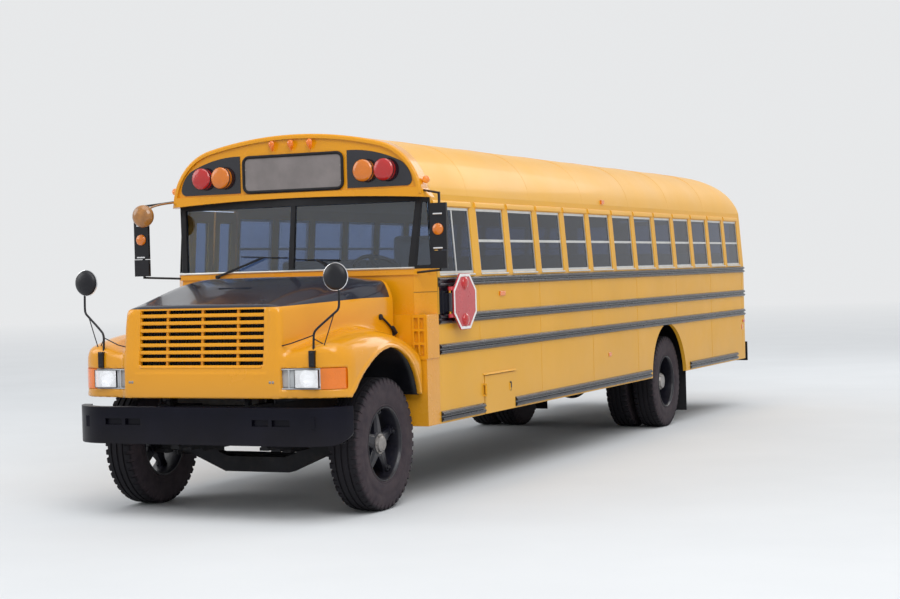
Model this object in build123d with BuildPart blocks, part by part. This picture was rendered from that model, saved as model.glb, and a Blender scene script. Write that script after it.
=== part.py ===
from build123d import *
import math
import os

# A full-length bonneted school bus. X is the bus's left side, Y runs to its rear, Z is up from the road.
# Driving dimensions, in millimetres.
wheelbase = 7010
front_overhang = 920
rear_overhang = 3270
body_width = 2438
wall = 40
skirt_bottom = 592
floor_top = 1080
floor_thick = 50
sill_z = 1789
lean = 4.3
shoulder_radius = 488
crown_radius = 3400
roof_top = 2975
fit_gap = 0.3
door_gap = 8

# Windows of the passenger cabin.
window_count = 12
window_pitch = 698.5
window_width = 585
window_height = 546
sash_bar = 22
sash_thick = 26
glass_thick = 6

# Wheels and tyres.
tyre_radius = 509
tyre_width = 254
rim_radius = 286
front_track = 2000
rear_outer_track = 2046
twin_spacing = 318
kingpin_half = 870

front_axle_y = front_overhang - (front_overhang + wheelbase + rear_overhang) / 2
rear_axle_y = front_axle_y + wheelbase
half = body_width / 2
cowl_y = front_axle_y + 560
side_front_y = front_axle_y + 790
first_window_y = front_axle_y + 1688.5
rear_end_y = rear_axle_y + 3130
rear_wall_y = rear_end_y - wall
dome_length = 1000
dome_y = rear_wall_y - dome_length

os.makedirs("parts", exist_ok=True)


def save(piece, name):
    piece.label = name
    export_step(piece, f"parts/{name}.step")


def cross_plane(y):
    """A plane across the bus at y, with its own x to the left and its own y up."""
    return Plane(origin=(0, y, 0), x_dir=(1, 0, 0), z_dir=(0, -1, 0))


def block(x0, x1, y0, y1, z0, z1, mode=Mode.ADD):
    """A box from corner to corner, in the part that is open."""
    with Locations(((x0 + x1) / 2, (y0 + y1) / 2, (z0 + z1) / 2)):
        Box(abs(x1 - x0), abs(y1 - y0), abs(z1 - z0), mode=mode)


hinge_radius = 6
knuckle_radius = 11


def hinge_pin(x, y, z, root_x, root_y):
    """An upright hinge pin with a lug at each end, run back to a place on its own body."""
    with Locations((x, y, z)):
        Cylinder(hinge_radius, 110)
    for end in (-1, 1):
        lug_z = z + end * 47
        block(min(x, root_x), max(x, root_x), min(y, root_y), max(y, root_y), lug_z - 8, lug_z + 8)
        with Locations((x, y, lug_z)):
            Cylinder(knuckle_radius, 16)


def hinge_knuckle(x, y, z, root_x, root_y):
    """The knuckle that turns on the pin, with its plate."""
    block(min(x, root_x), max(x, root_x), min(y, root_y), max(y, root_y), z - 36, z + 36)
    with Locations((x, y, z)):
        Cylinder(knuckle_radius, 72)
        Cylinder(hinge_radius + fit_gap, 80, mode=Mode.SUBTRACT)


# The body's cross section: upright to the sill, leaning in to the shoulder arc, then the flat crown.
lean_cos = math.cos(math.radians(lean))
lean_sin = math.sin(math.radians(lean))
crown_centre_z = roof_top - crown_radius
start_x = half - shoulder_radius * lean_cos
start_z = sill_z - shoulder_radius * lean_sin - crown_centre_z
along = -start_x * lean_sin + start_z * lean_cos
reach = start_x**2 + start_z**2 - (crown_radius - shoulder_radius) ** 2
slide_up = -along + math.sqrt(along**2 - reach)
shoulder_x = start_x - lean_sin * slide_up
shoulder_z = sill_z - shoulder_radius * lean_sin + lean_cos * slide_up
crown_angle = math.degrees(math.atan2(shoulder_z - crown_centre_z, shoulder_x))
rail_z = shoulder_z + shoulder_radius * lean_sin


def shoulder_point(inset, angle):
    turn = math.radians(angle)
    radius = shoulder_radius - inset
    return (shoulder_x + radius * math.cos(turn), shoulder_z + radius * math.sin(turn))


def roof_points(inset, height=1.0):
    """Wall top, shoulder middle and shoulder end, and the crown, with heights above the wall top scaled."""
    points = [
        shoulder_point(inset, lean),
        shoulder_point(inset, (lean + crown_angle) / 2),
        shoulder_point(inset, crown_angle),
        (0, roof_top - inset),
    ]
    return [(x, rail_z + (z - rail_z) * height) for x, z in points]


def roof_line(inset, height=1.0):
    """The roof's arcs from left to right, in the line that is open."""
    low, middle, high, top = roof_points(inset, height)
    ThreePointArc(low, middle, high)
    ThreePointArc(high, top, (-high[0], high[1]))
    ThreePointArc((-high[0], high[1]), (-middle[0], middle[1]), (-low[0], low[1]))


def wall_x(z, inset=0):
    """Half width of the body at height z, measured square to the wall."""
    if z <= sill_z:
        return half - inset
    return half - inset / lean_cos - (z - sill_z) * lean_sin / lean_cos


def wall_plane(side, y, z):
    """A plane in the leaning window band, its own x along the bus and its own z outward."""
    outward = (side * lean_cos, 0, lean_sin)
    return Plane(origin=(side * wall_x(z), y, z), x_dir=(0, side, 0), z_dir=outward)


# Frame rails, with the ears that carry the hood's hinge pins and the eyes for towing.
battery_door_y = (front_axle_y + 1681, front_axle_y + 2359)
battery_door_z = (skirt_bottom, 926)
rail_x = 432
rail_depth = 230
rail_flange = 80
rail_plate = 10
rail_top = 860
frame_front_y = front_axle_y - 760
frame_rear_y = rear_axle_y + 3150
hood_hinge_y = front_axle_y - 790
hood_hinge_z = 905
hinge_pin_radius = 12
tow_eye_radius = 20
tow_eye_z = 560
tow_plate = 20
crossmember_ys = [-650, 1500, 3000, 4500, 5900, 8050, 9300]
with BuildPart() as frame_rails:
    with BuildSketch(cross_plane(frame_front_y)):
        with Locations((rail_x - rail_flange / 2, rail_top - rail_depth / 2)):
            Rectangle(rail_flange, rail_depth)
        with Locations((rail_x - rail_plate - rail_flange / 2, rail_top - rail_depth / 2)):
            Rectangle(rail_flange, rail_depth - 2 * rail_plate, mode=Mode.SUBTRACT)
    extrude(amount=-(frame_rear_y - frame_front_y))
    block(330, 360, hood_hinge_y - 12, hood_hinge_y + 90, hood_hinge_z - 16, hood_hinge_z + 16)
    block(330, 360, hood_hinge_y + 40, hood_hinge_y + 90, rail_top - 60, hood_hinge_z + 16)
    with BuildSketch(Plane.YZ.offset(290)):
        with Locations((hood_hinge_y, hood_hinge_z)):
            Circle(hinge_pin_radius)
    extrude(amount=70)
    mirror(about=Plane.YZ)
    for side in (1, -1):
        eye_x = side * (rail_x - rail_plate)
        with BuildSketch(Plane.YZ.offset(eye_x - tow_plate / 2)):
            with Locations((frame_rear_y - 60, tow_eye_z)):
                RectangleRounded(120, 120, 30)
                with Locations((0, 45)):
                    Rectangle(120, 60)
                Circle(tow_eye_radius, mode=Mode.SUBTRACT)
        extrude(amount=tow_plate)
save(frame_rails.part, "frame_rails")

# Battery box: a sheet box on an arm from the left rail, open to its door, with the battery inside.
box_sheet = 6
box_depth = 460
with BuildPart() as battery_box:
    y0, y1 = battery_door_y
    inner_x = half - wall - box_depth
    block(inner_x, half - wall, y0 - 4, y1 + 4, skirt_bottom + 10, 940)
    low = skirt_bottom + 10 + box_sheet
    block(inner_x + box_sheet, half, y0 + 2, y1 - 2, low, 940 - box_sheet, mode=Mode.SUBTRACT)
    block(inner_x + 40, half - 200, y0 + 80, y1 - 80, low, 850)
    block(rail_x, inner_x, y0 + 100, y1 - 100, 760, 800)
save(battery_box.part, "battery_box")

# Front axle: a dropped beam under the rails, with its kingpin eyes.
beam_low = 275
beam_high = 395
knuckle_gap = 5
kingpin_radius = 22
eye_half = 60
with BuildPart() as front_axle:
    with BuildSketch(cross_plane(front_axle_y + 50)):
        with BuildLine():
            Polyline(
                (-290, beam_low),
                (290, beam_low),
                (620, 415),
                (kingpin_half - 70, tyre_radius - eye_half),
                (kingpin_half, tyre_radius - eye_half),
                (kingpin_half, tyre_radius + eye_half),
                (560, beam_high + 100),
                (250, beam_high),
                (-250, beam_high),
                (-560, beam_high + 100),
                (-kingpin_half, tyre_radius + eye_half),
                (-kingpin_half, tyre_radius - eye_half),
                (70 - kingpin_half, tyre_radius - eye_half),
                (-620, 415),
                close=True,
            )
        make_face()
    extrude(amount=100)
    for side in (1, -1):
        with Locations((side * kingpin_half, front_axle_y, tyre_radius)):
            Cylinder(50, 2 * eye_half)
            Cylinder(kingpin_radius, 2 * eye_half + 90)
        block(side * 357, side * 433, front_axle_y - 50, front_axle_y + 50, beam_high, 455)
save(front_axle.part, "front_axle")

# Rear axle: a round housing with the differential's banjo.
spindle_radius = 45
housing_radius = 72
hub_inner_x = rear_outer_track / 2 - twin_spacing - 130
rear_seat_z = tyre_radius + housing_radius + 25
with BuildPart() as rear_axle:
    with BuildSketch(Plane.YZ.offset(-hub_inner_x)):
        with Locations((rear_axle_y, tyre_radius)):
            Circle(housing_radius)
    extrude(amount=2 * hub_inner_x)
    with BuildSketch(Plane.YZ.offset(-rear_outer_track / 2 - 60)):
        with Locations((rear_axle_y, tyre_radius)):
            Circle(spindle_radius)
    extrude(amount=rear_outer_track + 120)
    with Locations((0, rear_axle_y, tyre_radius)):
        Sphere(200)
    block(-60, 60, rear_axle_y - 330, rear_axle_y - 150, tyre_radius - 60, tyre_radius + 60)
    for side in (1, -1):
        block(side * 450, side * 520, rear_axle_y - 60, rear_axle_y + 60, tyre_radius, rear_seat_z)
save(rear_axle.part, "rear_axle")

# Leaf springs, one pack on each side of each axle, with their hangers on the rails.
spring_table = [
    # name, side x, axle y, length, top of axle seat, width
    ("front", 395, front_axle_y, 1200, 455, 76),
    ("rear", 485, rear_axle_y, 1350, rear_seat_z, 70),
]
with BuildPart() as leaf_springs:
    for name, spring_x, axle_y, length, seat_z, width in spring_table:
        for side in (1, -1):
            x = side * spring_x
            for leaf, share in enumerate((1.0, 0.72, 0.44)):
                low = seat_z + 50 - 25 * leaf
                reach_y = length * share / 2
                block(x - width / 2, x + width / 2, axle_y - reach_y, axle_y + reach_y, low, low + 25)
            for end in (-1, 1):
                hanger_y = axle_y + end * (length / 2 - 30)
                hanger_top = rail_top - rail_depth if name == "front" else rail_top - 60
                block(x - 25, x + 25, hanger_y - 30, hanger_y + 30, seat_z + 75, hanger_top)
                if name == "rear":
                    block(side * rail_x, x, hanger_y - 30, hanger_y + 30, hanger_top - 60, hanger_top)
save(leaf_springs.part, "leaf_springs")

# Engine, radiator and driveline.
with BuildPart() as engine:
    block(-290, 290, front_axle_y - 360, front_axle_y + 540, 700, 1430)
    block(-180, 180, front_axle_y + 540, front_axle_y + 1100, 620, 855)
    for y in (front_axle_y - 200, front_axle_y + 420):
        block(-420, 420, y - 40, y + 40, rail_top, rail_top + 30)
save(engine.part, "engine")

radiator_y = front_axle_y - 600
with BuildPart() as radiator:
    block(-360, 360, radiator_y, radiator_y + 90, rail_top, 1480)
    chamfer(radiator.edges().filter_by(Axis.Y).group_by(Axis.Z)[-1], length=25)
save(radiator.part, "radiator")

with BuildPart() as driveline:
    shaft_front = (0, front_axle_y + 1110, 740)
    shaft_middle = (0, front_axle_y + 4500, 700)
    shaft_rear = (0, rear_axle_y - 340, tyre_radius)
    for start, end in ((shaft_front, shaft_middle), (shaft_middle, shaft_rear)):
        run = Vector(*end) - Vector(*start)
        with BuildSketch(Plane(origin=start, z_dir=run)):
            Circle(45)
        extrude(amount=run.length)
    block(-110, 110, shaft_middle[1] - 30, shaft_middle[1] + 30, 640, rail_top - 70)
    block(-45, 45, front_axle_y + 1100, front_axle_y + 1125, 695, 785)
    block(-40, 40, rear_axle_y - 360, rear_axle_y - 330, tyre_radius - 40, tyre_radius + 40)
save(driveline.part, "driveline")

# Exhaust: from the engine past the silencer and over the rear axle to a turned-down tail.
pipe_x = -260
pipe_z = 740
with BuildPart() as exhaust:
    with BuildSketch(cross_plane(front_axle_y + 540)):
        with Locations((pipe_x, pipe_z)):
            Circle(45)
    extrude(amount=-9300)
    with BuildSketch(cross_plane(front_axle_y + 1900)):
        with Locations((pipe_x, pipe_z)):
            Circle(75)
    extrude(amount=-900)
    with Locations((pipe_x, front_axle_y + 9840, pipe_z - 60)):
        Cylinder(45, 120)
    with Locations((pipe_x, front_axle_y + 9840, pipe_z)):
        Sphere(45)
    for y in crossmember_ys[1:]:
        y = front_axle_y + y
        block(pipe_x - 12, pipe_x + 12, y - 12, y + 12, pipe_z, rail_top - 70)
save(exhaust.part, "exhaust")

# Fuel tank outside the right rail, in its cage straps.
tank_front_y = front_axle_y + 2500
with BuildPart() as fuel_tank:
    block(-1080, -rail_x - 20, tank_front_y, tank_front_y + 1300, 450, 850)
    fillet(fuel_tank.edges().filter_by(Axis.Y), radius=60)
    for y in (tank_front_y + 250, tank_front_y + 1050):
        block(-1090, -rail_x, y - 25, y + 25, 440, 858)
save(fuel_tank.part, "fuel_tank")

# Front bumper: a swept channel with rounded lower corners and slots for the tow hooks.
bumper_low = 574
bumper_high = 853
bumper_depth = 75
bumper_plate = 10
bumper_corner = 110
slot_spans = [(487, 625), (655, 805)]


def bumper_line(back):
    """The bumper's plan outline, moved back from its front face."""
    front = front_axle_y - front_overhang + back
    end = front_axle_y - 650
    side_x = 1188 - back
    Line((-840, front), (840, front))
    ThreePointArc((840, front), (1090 - 0.7 * back, front_axle_y - 818 + 0.7 * back), (side_x, end))
    Line((side_x, end), (-side_x, end))
    ThreePointArc((-side_x, end), (-1090 + 0.7 * back, front_axle_y - 818 + 0.7 * back), (-840, front))


with BuildPart() as front_bumper:
    with BuildSketch(Plane.XY.offset(bumper_low)):
        with BuildLine():
            bumper_line(0)
        make_face()
        with BuildLine():
            bumper_line(bumper_depth)
        make_face(mode=Mode.SUBTRACT)
    extrude(amount=bumper_high - bumper_low)
    with BuildSketch(Plane.XY.offset(bumper_low + bumper_plate)):
        with BuildLine():
            bumper_line(bumper_plate)
        make_face()
    extrude(amount=bumper_high - bumper_low - 2 * bumper_plate, mode=Mode.SUBTRACT)
    with BuildSketch(cross_plane(front_axle_y - front_overhang - 10)):
        with Locations((0, (bumper_low + bumper_high + 200) / 2)):
            RectangleRounded(2 * 1188, bumper_high - bumper_low + 200, bumper_corner)
    extrude(amount=-400, mode=Mode.INTERSECT)
    for low_x, high_x in slot_spans:
        for side in (1, -1):
            front = front_axle_y - front_overhang
            block(side * low_x, side * high_x, front - 5, front + 30, 718, 766, mode=Mode.SUBTRACT)
    for side in (1, -1):
        block(side * 362, side * rail_x, front_axle_y - 912, frame_front_y, 660, rail_top - 30)
save(front_bumper.part, "front_bumper")

# Rear bumper: a straight channel that wraps a little round the corners.
rear_bumper_low = 560
rear_bumper_high = 800
with BuildPart() as rear_bumper:
    block(-half, half, rear_end_y + 60, rear_axle_y + rear_overhang, rear_bumper_low, rear_bumper_high)
    fillet(rear_bumper.edges().filter_by(Axis.Z).group_by(Axis.Y)[-1], radius=60)
    block(-half + 10, half - 10, rear_end_y + 55, rear_end_y + 130, rear_bumper_low + 10, rear_bumper_high - 10, mode=Mode.SUBTRACT)
    for side in (1, -1):
        block(side * 345, side * 425, frame_rear_y, rear_end_y + 130, 660, 790)
save(rear_bumper.part, "rear_bumper")

# The floor, cut out over the rear wheels and at the stepwell.
wheelhouse_inner_x = 540
wheelhouse_half_y = 600
door_front_y = front_axle_y + 893
door_rear_y = front_axle_y + 1637
step_inner_x = 640
with BuildPart() as floor:
    block(-half + wall, half - wall, side_front_y, rear_wall_y, floor_top - floor_thick, floor_top)
    for side in (1, -1):
        y0 = rear_axle_y - wheelhouse_half_y
        y1 = rear_axle_y + wheelhouse_half_y
        block(side * wheelhouse_inner_x, side * half, y0, y1, rail_top, floor_top + 1, mode=Mode.SUBTRACT)
    block(-half, -step_inner_x, door_front_y + 2, door_rear_y - 2, rail_top, floor_top + 1, mode=Mode.SUBTRACT)
save(floor.part, "floor")

# Crossmembers between the rails, and the floor's bolsters, which rest across the rails.
bolster_count = 13
bolster_half = 35
with BuildPart() as crossmembers:
    for y in crossmember_ys:
        across = rail_x - rail_plate
        y += front_axle_y
        block(-across, across, y - 40, y + 40, rail_top - 70, rail_top - rail_plate)
    for index in range(bolster_count):
        y = side_front_y + 100 + index * (rear_wall_y - side_front_y - 200) / (bolster_count - 1)
        block(wall - half, half - wall, y - bolster_half, y + bolster_half, rail_top, floor_top - floor_thick)
    for side in (1, -1):
        y0 = rear_axle_y - wheelhouse_half_y
        y1 = rear_axle_y + wheelhouse_half_y
        block(side * wheelhouse_inner_x, side * half, y0, y1, rail_top - 1, floor_top, mode=Mode.SUBTRACT)
    block(-half, -step_inner_x, door_front_y + 2, door_rear_y - 2, rail_top - 1, floor_top, mode=Mode.SUBTRACT)
    y0, y1 = battery_door_y
    block(half - 520, half, y0 - 8, y1 + 8, rail_top - 1, 944, mode=Mode.SUBTRACT)
save(crossmembers.part, "crossmembers")

# Floor wells: the wheelhouses over the rear twins, open below, and the stepwell inside the entrance door.
wheelhouse_top = 1190
sheet = 6
step_low = 430
step_rise = (floor_top - step_low) / 3
with BuildPart() as floor_wells:
    for side in (1, -1):
        y0 = rear_axle_y - wheelhouse_half_y
        y1 = rear_axle_y + wheelhouse_half_y
        outer_x = side * (half - wall)
        block(side * wheelhouse_inner_x, outer_x, y0, y1, floor_top - floor_thick, wheelhouse_top)
        block(side * (wheelhouse_inner_x + sheet), outer_x, y0 + sheet, y1 - sheet, 0, wheelhouse_top - sheet, mode=Mode.SUBTRACT)
    y0 = door_front_y + 2
    y1 = door_rear_y - 2
    with BuildSketch(cross_plane(y0)):
        with BuildLine():
            Polyline(
                (-half + wall + 12, step_low),
                (-half + wall + 12, step_low + sheet),
                (-960 - sheet, step_low + sheet),
                (-960 - sheet, step_low + step_rise),
                (-760 - sheet, step_low + step_rise),
                (-760 - sheet, step_low + 2 * step_rise),
                (-step_inner_x, step_low + 2 * step_rise),
                (-step_inner_x, step_low + 2 * step_rise - sheet),
                (-760, step_low + 2 * step_rise - sheet),
                (-760, step_low + step_rise - sheet),
                (-960, step_low + step_rise - sheet),
                (-960, step_low),
                close=True,
            )
        make_face()
    extrude(amount=-(y1 - y0))
    block(-step_inner_x - sheet, -step_inner_x, y0, y1, step_low + 2 * step_rise, floor_top)
    for y in (y0, y1 - sheet):
        block(-half + wall + 12, -step_inner_x, y, y + sheet, step_low, floor_top)
save(floor_wells.part, "floor_wells")

# Side walls: one whole thickness of outer and inner panel, with the windows, arches and doors cut.
arch_points = [(-729, 603), (-565, 990), (3, 1140), (294, 992), (518, 603)]
driver_window = (front_axle_y + 850, front_axle_y + 1546)
header_z = 2400
hinge_out = 14
door_hinge_zs = (700, 1150, 1650)
battery_hinge_z = 800
battery_hinge_x = half + 4 + hinge_out
sign_width = 460
sign_y = front_axle_y + 1185
sign_z = 1565
sign_x = half + 62
stop_hinge_y = sign_y - sign_width / 2 - 30


def wall_profile():
    """The side wall's section on the left, in the line that is open."""
    inner_low_z = sill_z - wall * math.tan(math.radians(lean / 2))
    Polyline(
        (half, skirt_bottom),
        (half, sill_z),
        shoulder_point(0, lean),
        shoulder_point(wall, lean),
        (half - wall, inner_low_z),
        (half - wall, skirt_bottom),
        close=True,
    )


def window_fronts():
    return [first_window_y + index * window_pitch for index in range(window_count)]


walls = {}
for name, side in (("side_left", 1), ("side_right", -1)):
    with BuildPart() as panel:
        with BuildSketch(cross_plane(side_front_y)):
            with BuildLine():
                wall_profile()
            make_face()
        extrude(amount=-(rear_wall_y - side_front_y))
        if side < 0:
            panel.part = panel.part.mirror(Plane.YZ)
        for y in window_fronts():
            with BuildSketch(wall_plane(side, y + window_width / 2, sill_z)):
                with Locations((0, window_height / 2 + 6)):
                    Rectangle(window_width, window_height)
            extrude(amount=2 * wall, both=True, mode=Mode.SUBTRACT)
        with BuildSketch(Plane.YZ.offset(side * (half - 2 * wall))):
            with BuildLine():
                arch = [(rear_axle_y + y, z) for y, z in arch_points]
                Line((arch[0][0], skirt_bottom - 50), arch[0])
                ThreePointArc(arch[0], arch[1], arch[2])
                ThreePointArc(arch[2], arch[3], arch[4])
                Line(arch[4], (arch[4][0], skirt_bottom - 50))
                Line((arch[4][0], skirt_bottom - 50), (arch[0][0], skirt_bottom - 50))
            make_face()
        extrude(amount=side * 3 * wall, mode=Mode.SUBTRACT)
        if side > 0:
            with BuildSketch(wall_plane(side, sum(driver_window) / 2, sill_z)):
                with Locations((0, window_height / 2 + 6)):
                    Rectangle(driver_window[1] - driver_window[0], window_height)
            extrude(amount=2 * wall, both=True, mode=Mode.SUBTRACT)
            block(half - 2 * wall, half + 1, *battery_door_y, *battery_door_z, mode=Mode.SUBTRACT)
            hinge_pin(battery_hinge_x, battery_door_y[0], battery_hinge_z, half, battery_door_y[0] - 24)
            block(half, half + 12, stop_hinge_y - 60, stop_hinge_y + 20, sign_z - 88, sign_z + 88)
            with Locations((sign_x - 15, stop_hinge_y, sign_z)):
                Cylinder(8 - fit_gap, 250)
                Cylinder(16, 150)
            block(half, sign_x - 15, stop_hinge_y - 8, stop_hinge_y + 8, sign_z - 75, sign_z + 75)
        else:
            block(-half - 1, -half + 3 * wall, door_front_y, door_rear_y, skirt_bottom - 1, header_z, mode=Mode.SUBTRACT)
            for z in door_hinge_zs:
                hinge_pin(-half - hinge_out, door_front_y, z, -half, door_front_y - 24)
                hinge_pin(-half - hinge_out, door_rear_y, z, -half, door_rear_y + 24)
    walls[name] = panel.part
    save(panel.part, name)

# Roof: one bowed skin from wall to wall, with the rear dome lofted down to the rear wall.
dome_drop = 0.3
dome_steps = 10
dome_table = []
for step in range(dome_steps + 1):
    # distance ahead of the rear wall, height above the wall top as a share
    turn = math.radians(90 * step / dome_steps)
    dome_table.append((dome_length * (1 - math.sin(turn)), 1 - dome_drop * (1 - math.cos(turn))))
with BuildPart() as roof:
    with BuildSketch(cross_plane(side_front_y)):
        with BuildLine():
            roof_line(0)
            Line(shoulder_point(0, lean), shoulder_point(wall, lean))
            roof_line(wall)
            right_outer = shoulder_point(0, lean)
            right_inner = shoulder_point(wall, lean)
            Line((-right_outer[0], right_outer[1]), (-right_inner[0], right_inner[1]))
        make_face()
    extrude(amount=-(dome_y - side_front_y))


def dome(inset):
    with BuildPart() as shape:
        for ahead, height in dome_table:
            with BuildSketch(cross_plane(rear_wall_y - ahead)):
                with BuildLine():
                    roof_line(inset, height)
                    low = roof_points(inset, height)[0]
                    Line((-low[0], low[1]), low)
                make_face()
        loft(ruled=True)
    return shape.part


with BuildPart() as rear_dome:
    add(dome(0))
    add(dome(wall), mode=Mode.SUBTRACT)
with BuildPart() as whole_roof:
    add(roof.part)
    add(rear_dome.part)
save(whole_roof.part, "roof")


# Rear wall with the emergency doorway and a fixed window each side of it.
rear_height = dome_table[-1][1]
exit_half = 430
exit_low = floor_top - floor_thick
exit_high = 2400
exit_hinge_zs = (1150, 1700, 2250)
rear_window_x = (560, 1040)
edge_round = 30


def body_line(inset, height):
    """The whole body's section from skirt to crown, in the line that is open."""
    roof_line(inset, height)
    low = roof_points(inset, height)[0]
    Polyline((-low[0], low[1]), (inset - half, sill_z), (inset - half, skirt_bottom))
    Line((inset - half, skirt_bottom), (half - inset, skirt_bottom))
    Polyline((half - inset, skirt_bottom), (half - inset, sill_z), low)


with BuildPart() as rear_wall:
    with BuildSketch(cross_plane(rear_wall_y)):
        with BuildLine():
            body_line(0, rear_height)
        make_face()
    extrude(amount=-wall)
    fillet(rear_wall.faces().sort_by(Axis.Y)[-1].outer_wire().edges(), radius=edge_round)
    y0 = rear_wall_y - 1
    y1 = rear_end_y + 1
    block(-rail_x - 10, rail_x + 10, y0, y1, skirt_bottom - 1, rail_top + 5, mode=Mode.SUBTRACT)
    block(-exit_half - door_gap, exit_half + door_gap, y0, y1, exit_low, exit_high, mode=Mode.SUBTRACT)
    for side in (1, -1):
        x0, x1 = (side * x for x in rear_window_x)
        block(x0, x1, y0, y1, sill_z, sill_z + window_height, mode=Mode.SUBTRACT)
    for z in exit_hinge_zs:
        hinge_pin(-exit_half - door_gap, rear_end_y + hinge_out, z, -exit_half - door_gap - 24, rear_end_y)
save(rear_wall.part, "rear_wall")

# Front cap: the roof's front rim over the recessed lamp panel, and the brim over the windshield.
cap_y = front_axle_y + 640
cap_rim = 38
cap_recess = 20
panel_low = 2495
brim_low = 2410
brim_rise = 41
brim_half = half - 1
with BuildPart() as front_cap:
    with BuildSketch(cross_plane(cap_y)):
        with BuildLine():
            roof_line(0)
            low = shoulder_point(0, lean)
            Line((-low[0], low[1]), low)
        make_face()
    extrude(amount=-(side_front_y - cap_y))
    fillet(front_cap.faces().sort_by(Axis.Y)[0].edges().filter_by(GeomType.CIRCLE), radius=18)
    with BuildSketch(Plane.XY.offset(panel_low - 10)):
        with Locations((0, side_front_y)):
            RectangleRounded(2 * wall_x(panel_low), 2 * (side_front_y - cap_y), 30)
    with BuildSketch(Plane.XY.offset(brim_low)):
        with Locations((0, side_front_y)):
            RectangleRounded(2 * brim_half, 2 * (side_front_y - cap_y) + 8, 110)
    loft()
    with BuildSketch(cross_plane(cap_y - 10)):
        with BuildLine():
            ThreePointArc((-brim_half, brim_low), (0, brim_low + brim_rise), (brim_half, brim_low))
            Line((brim_half, brim_low), (-brim_half, brim_low))
        make_face()
    extrude(amount=-400, mode=Mode.SUBTRACT)
    block(-2 * half, 2 * half, side_front_y, side_front_y + 400, brim_low - 10, roof_top, mode=Mode.SUBTRACT)
    with BuildSketch(cross_plane(cap_y - 10)):
        with BuildLine():
            roof_line(cap_rim)
            low = shoulder_point(cap_rim, lean)
            Line((-low[0], low[1]), low)
        make_face()
        with Locations((0, panel_low + 500)):
            Rectangle(3 * half, 1000, mode=Mode.INTERSECT)
    extrude(amount=-(10 + cap_recess), mode=Mode.SUBTRACT)
    with BuildSketch(cross_plane(cap_y + cap_recess + wall)):
        with BuildLine():
            roof_line(wall)
            low = shoulder_point(wall, lean)
            Polyline((-low[0], low[1]), (-low[0], brim_low - 10), (low[0], brim_low - 10), low)
        make_face()
    extrude(amount=-400, mode=Mode.SUBTRACT)
save(front_cap.part, "front_cap")

# Cowl: the bulkhead behind the hood, full width below the vent boxes and cut back at the corners above.
cowl_top = 1841
ledge_low = 1794
vent_top = 1478
vent_low = 1120
vent_width = 123
glass_sweep = 0.0581
glass_rake = 0.130
post_x = 1085
glass_y = front_axle_y + 571
post_y = glass_y + glass_sweep * post_x
with BuildPart() as cowl:
    with BuildSketch(Plane.XY.offset(skirt_bottom)):
        with BuildLine():
            Polyline((-half, side_front_y), (-half, cowl_y), (half, cowl_y), (half, side_front_y), close=True)
        make_face()
    extrude(amount=vent_top - skirt_bottom)
    with BuildSketch(Plane.XY.offset(vent_top)):
        with BuildLine():
            Polyline(
                (-half, side_front_y),
                (-post_x, post_y),
                (0, glass_y),
                (post_x, post_y),
                (half, side_front_y),
                close=True,
            )
        make_face()
    extrude(amount=cowl_top - vent_top)
    with BuildSketch(Plane.XY.offset(ledge_low)):
        with BuildLine():
            Polyline(
                (-half, side_front_y),
                (-post_x - 12, post_y - 12),
                (0, glass_y - 14),
                (post_x + 12, post_y - 12),
                (half, side_front_y),
                close=True,
            )
        make_face()
    extrude(amount=cowl_top - ledge_low)
    inside = half - wall
    block(-inside, inside, cowl_y + wall, side_front_y + 1, skirt_bottom - 1, vent_top - 20, mode=Mode.SUBTRACT)
    with BuildSketch(Plane.XY.offset(vent_top)):
        with BuildLine():
            Polyline(
                (-inside - 30, side_front_y + 1),
                (-post_x + 20, post_y + 48),
                (0, glass_y + wall),
                (post_x - 20, post_y + 48),
                (inside + 30, side_front_y + 1),
                close=True,
            )
        make_face()
    extrude(amount=cowl_top - vent_top - 12, mode=Mode.SUBTRACT)
    block(-inside, inside, cowl_y + 100, side_front_y + 1, vent_top - 30, cowl_top + 1, mode=Mode.SUBTRACT)
    tunnel = rail_x + 20
    block(-tunnel, tunnel, cowl_y - 1, cowl_y + wall + 1, skirt_bottom - 1, rail_top + 10, mode=Mode.SUBTRACT)
    for side in (1, -1):
        x0 = side * (half - vent_width)
        block(x0, side * half, cowl_y - 6, cowl_y, vent_low, vent_top)
        for column in (0, 1):
            for row in (0, 1, 2):
                low_x = half - vent_width + 18 + 50 * column
                low_z = vent_low + 30 + 108 * row
                block(side * low_x, side * (low_x + 34), cowl_y - 7, cowl_y + 14, low_z, low_z + 86, mode=Mode.SUBTRACT)
save(cowl.part, "cowl")

# Windshield: two flat panes that lean back and sweep back from the centre post, and a pane at each corner.
sweep_angle = math.atan(glass_sweep)
slope = Vector(0, glass_rake, 1).normalized()
pane_high = 548
centre_post = 24


def glass_plane(depth=0):
    """The left pane's plane: its x runs to the left corner, its y up the glass, its z forward."""
    across = Vector(math.cos(sweep_angle), math.sin(sweep_angle), 0)
    outward = across.cross(slope).normalized()
    origin = Vector(0, glass_y, cowl_top) - outward * depth
    return Plane(origin=origin, x_dir=across, z_dir=outward)


def pane_outline(low_v, high_v, inner_u, outer_low, outer_high):
    Polyline((inner_u, low_v), (outer_low, low_v), (outer_high, high_v), (inner_u, high_v), close=True)


def corner_quad(z, start, end, front, back):
    """Plan outline of a stretch of the left corner, from share start to end, between two depths."""
    rise = z - cowl_top
    near = Vector(post_x + 0.0972 * rise, post_y + (glass_rake + 0.0972 * glass_sweep) * rise)
    far = Vector(wall_x(z), side_front_y)
    run = far - near
    normal = Vector(-run.Y, run.X).normalized()
    corners = []
    for share, depth in ((start, front), (end, front), (end, back), (start, back)):
        point = near + run * share + normal * depth
        corners.append((point.X, point.Y))
    return corners


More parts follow.
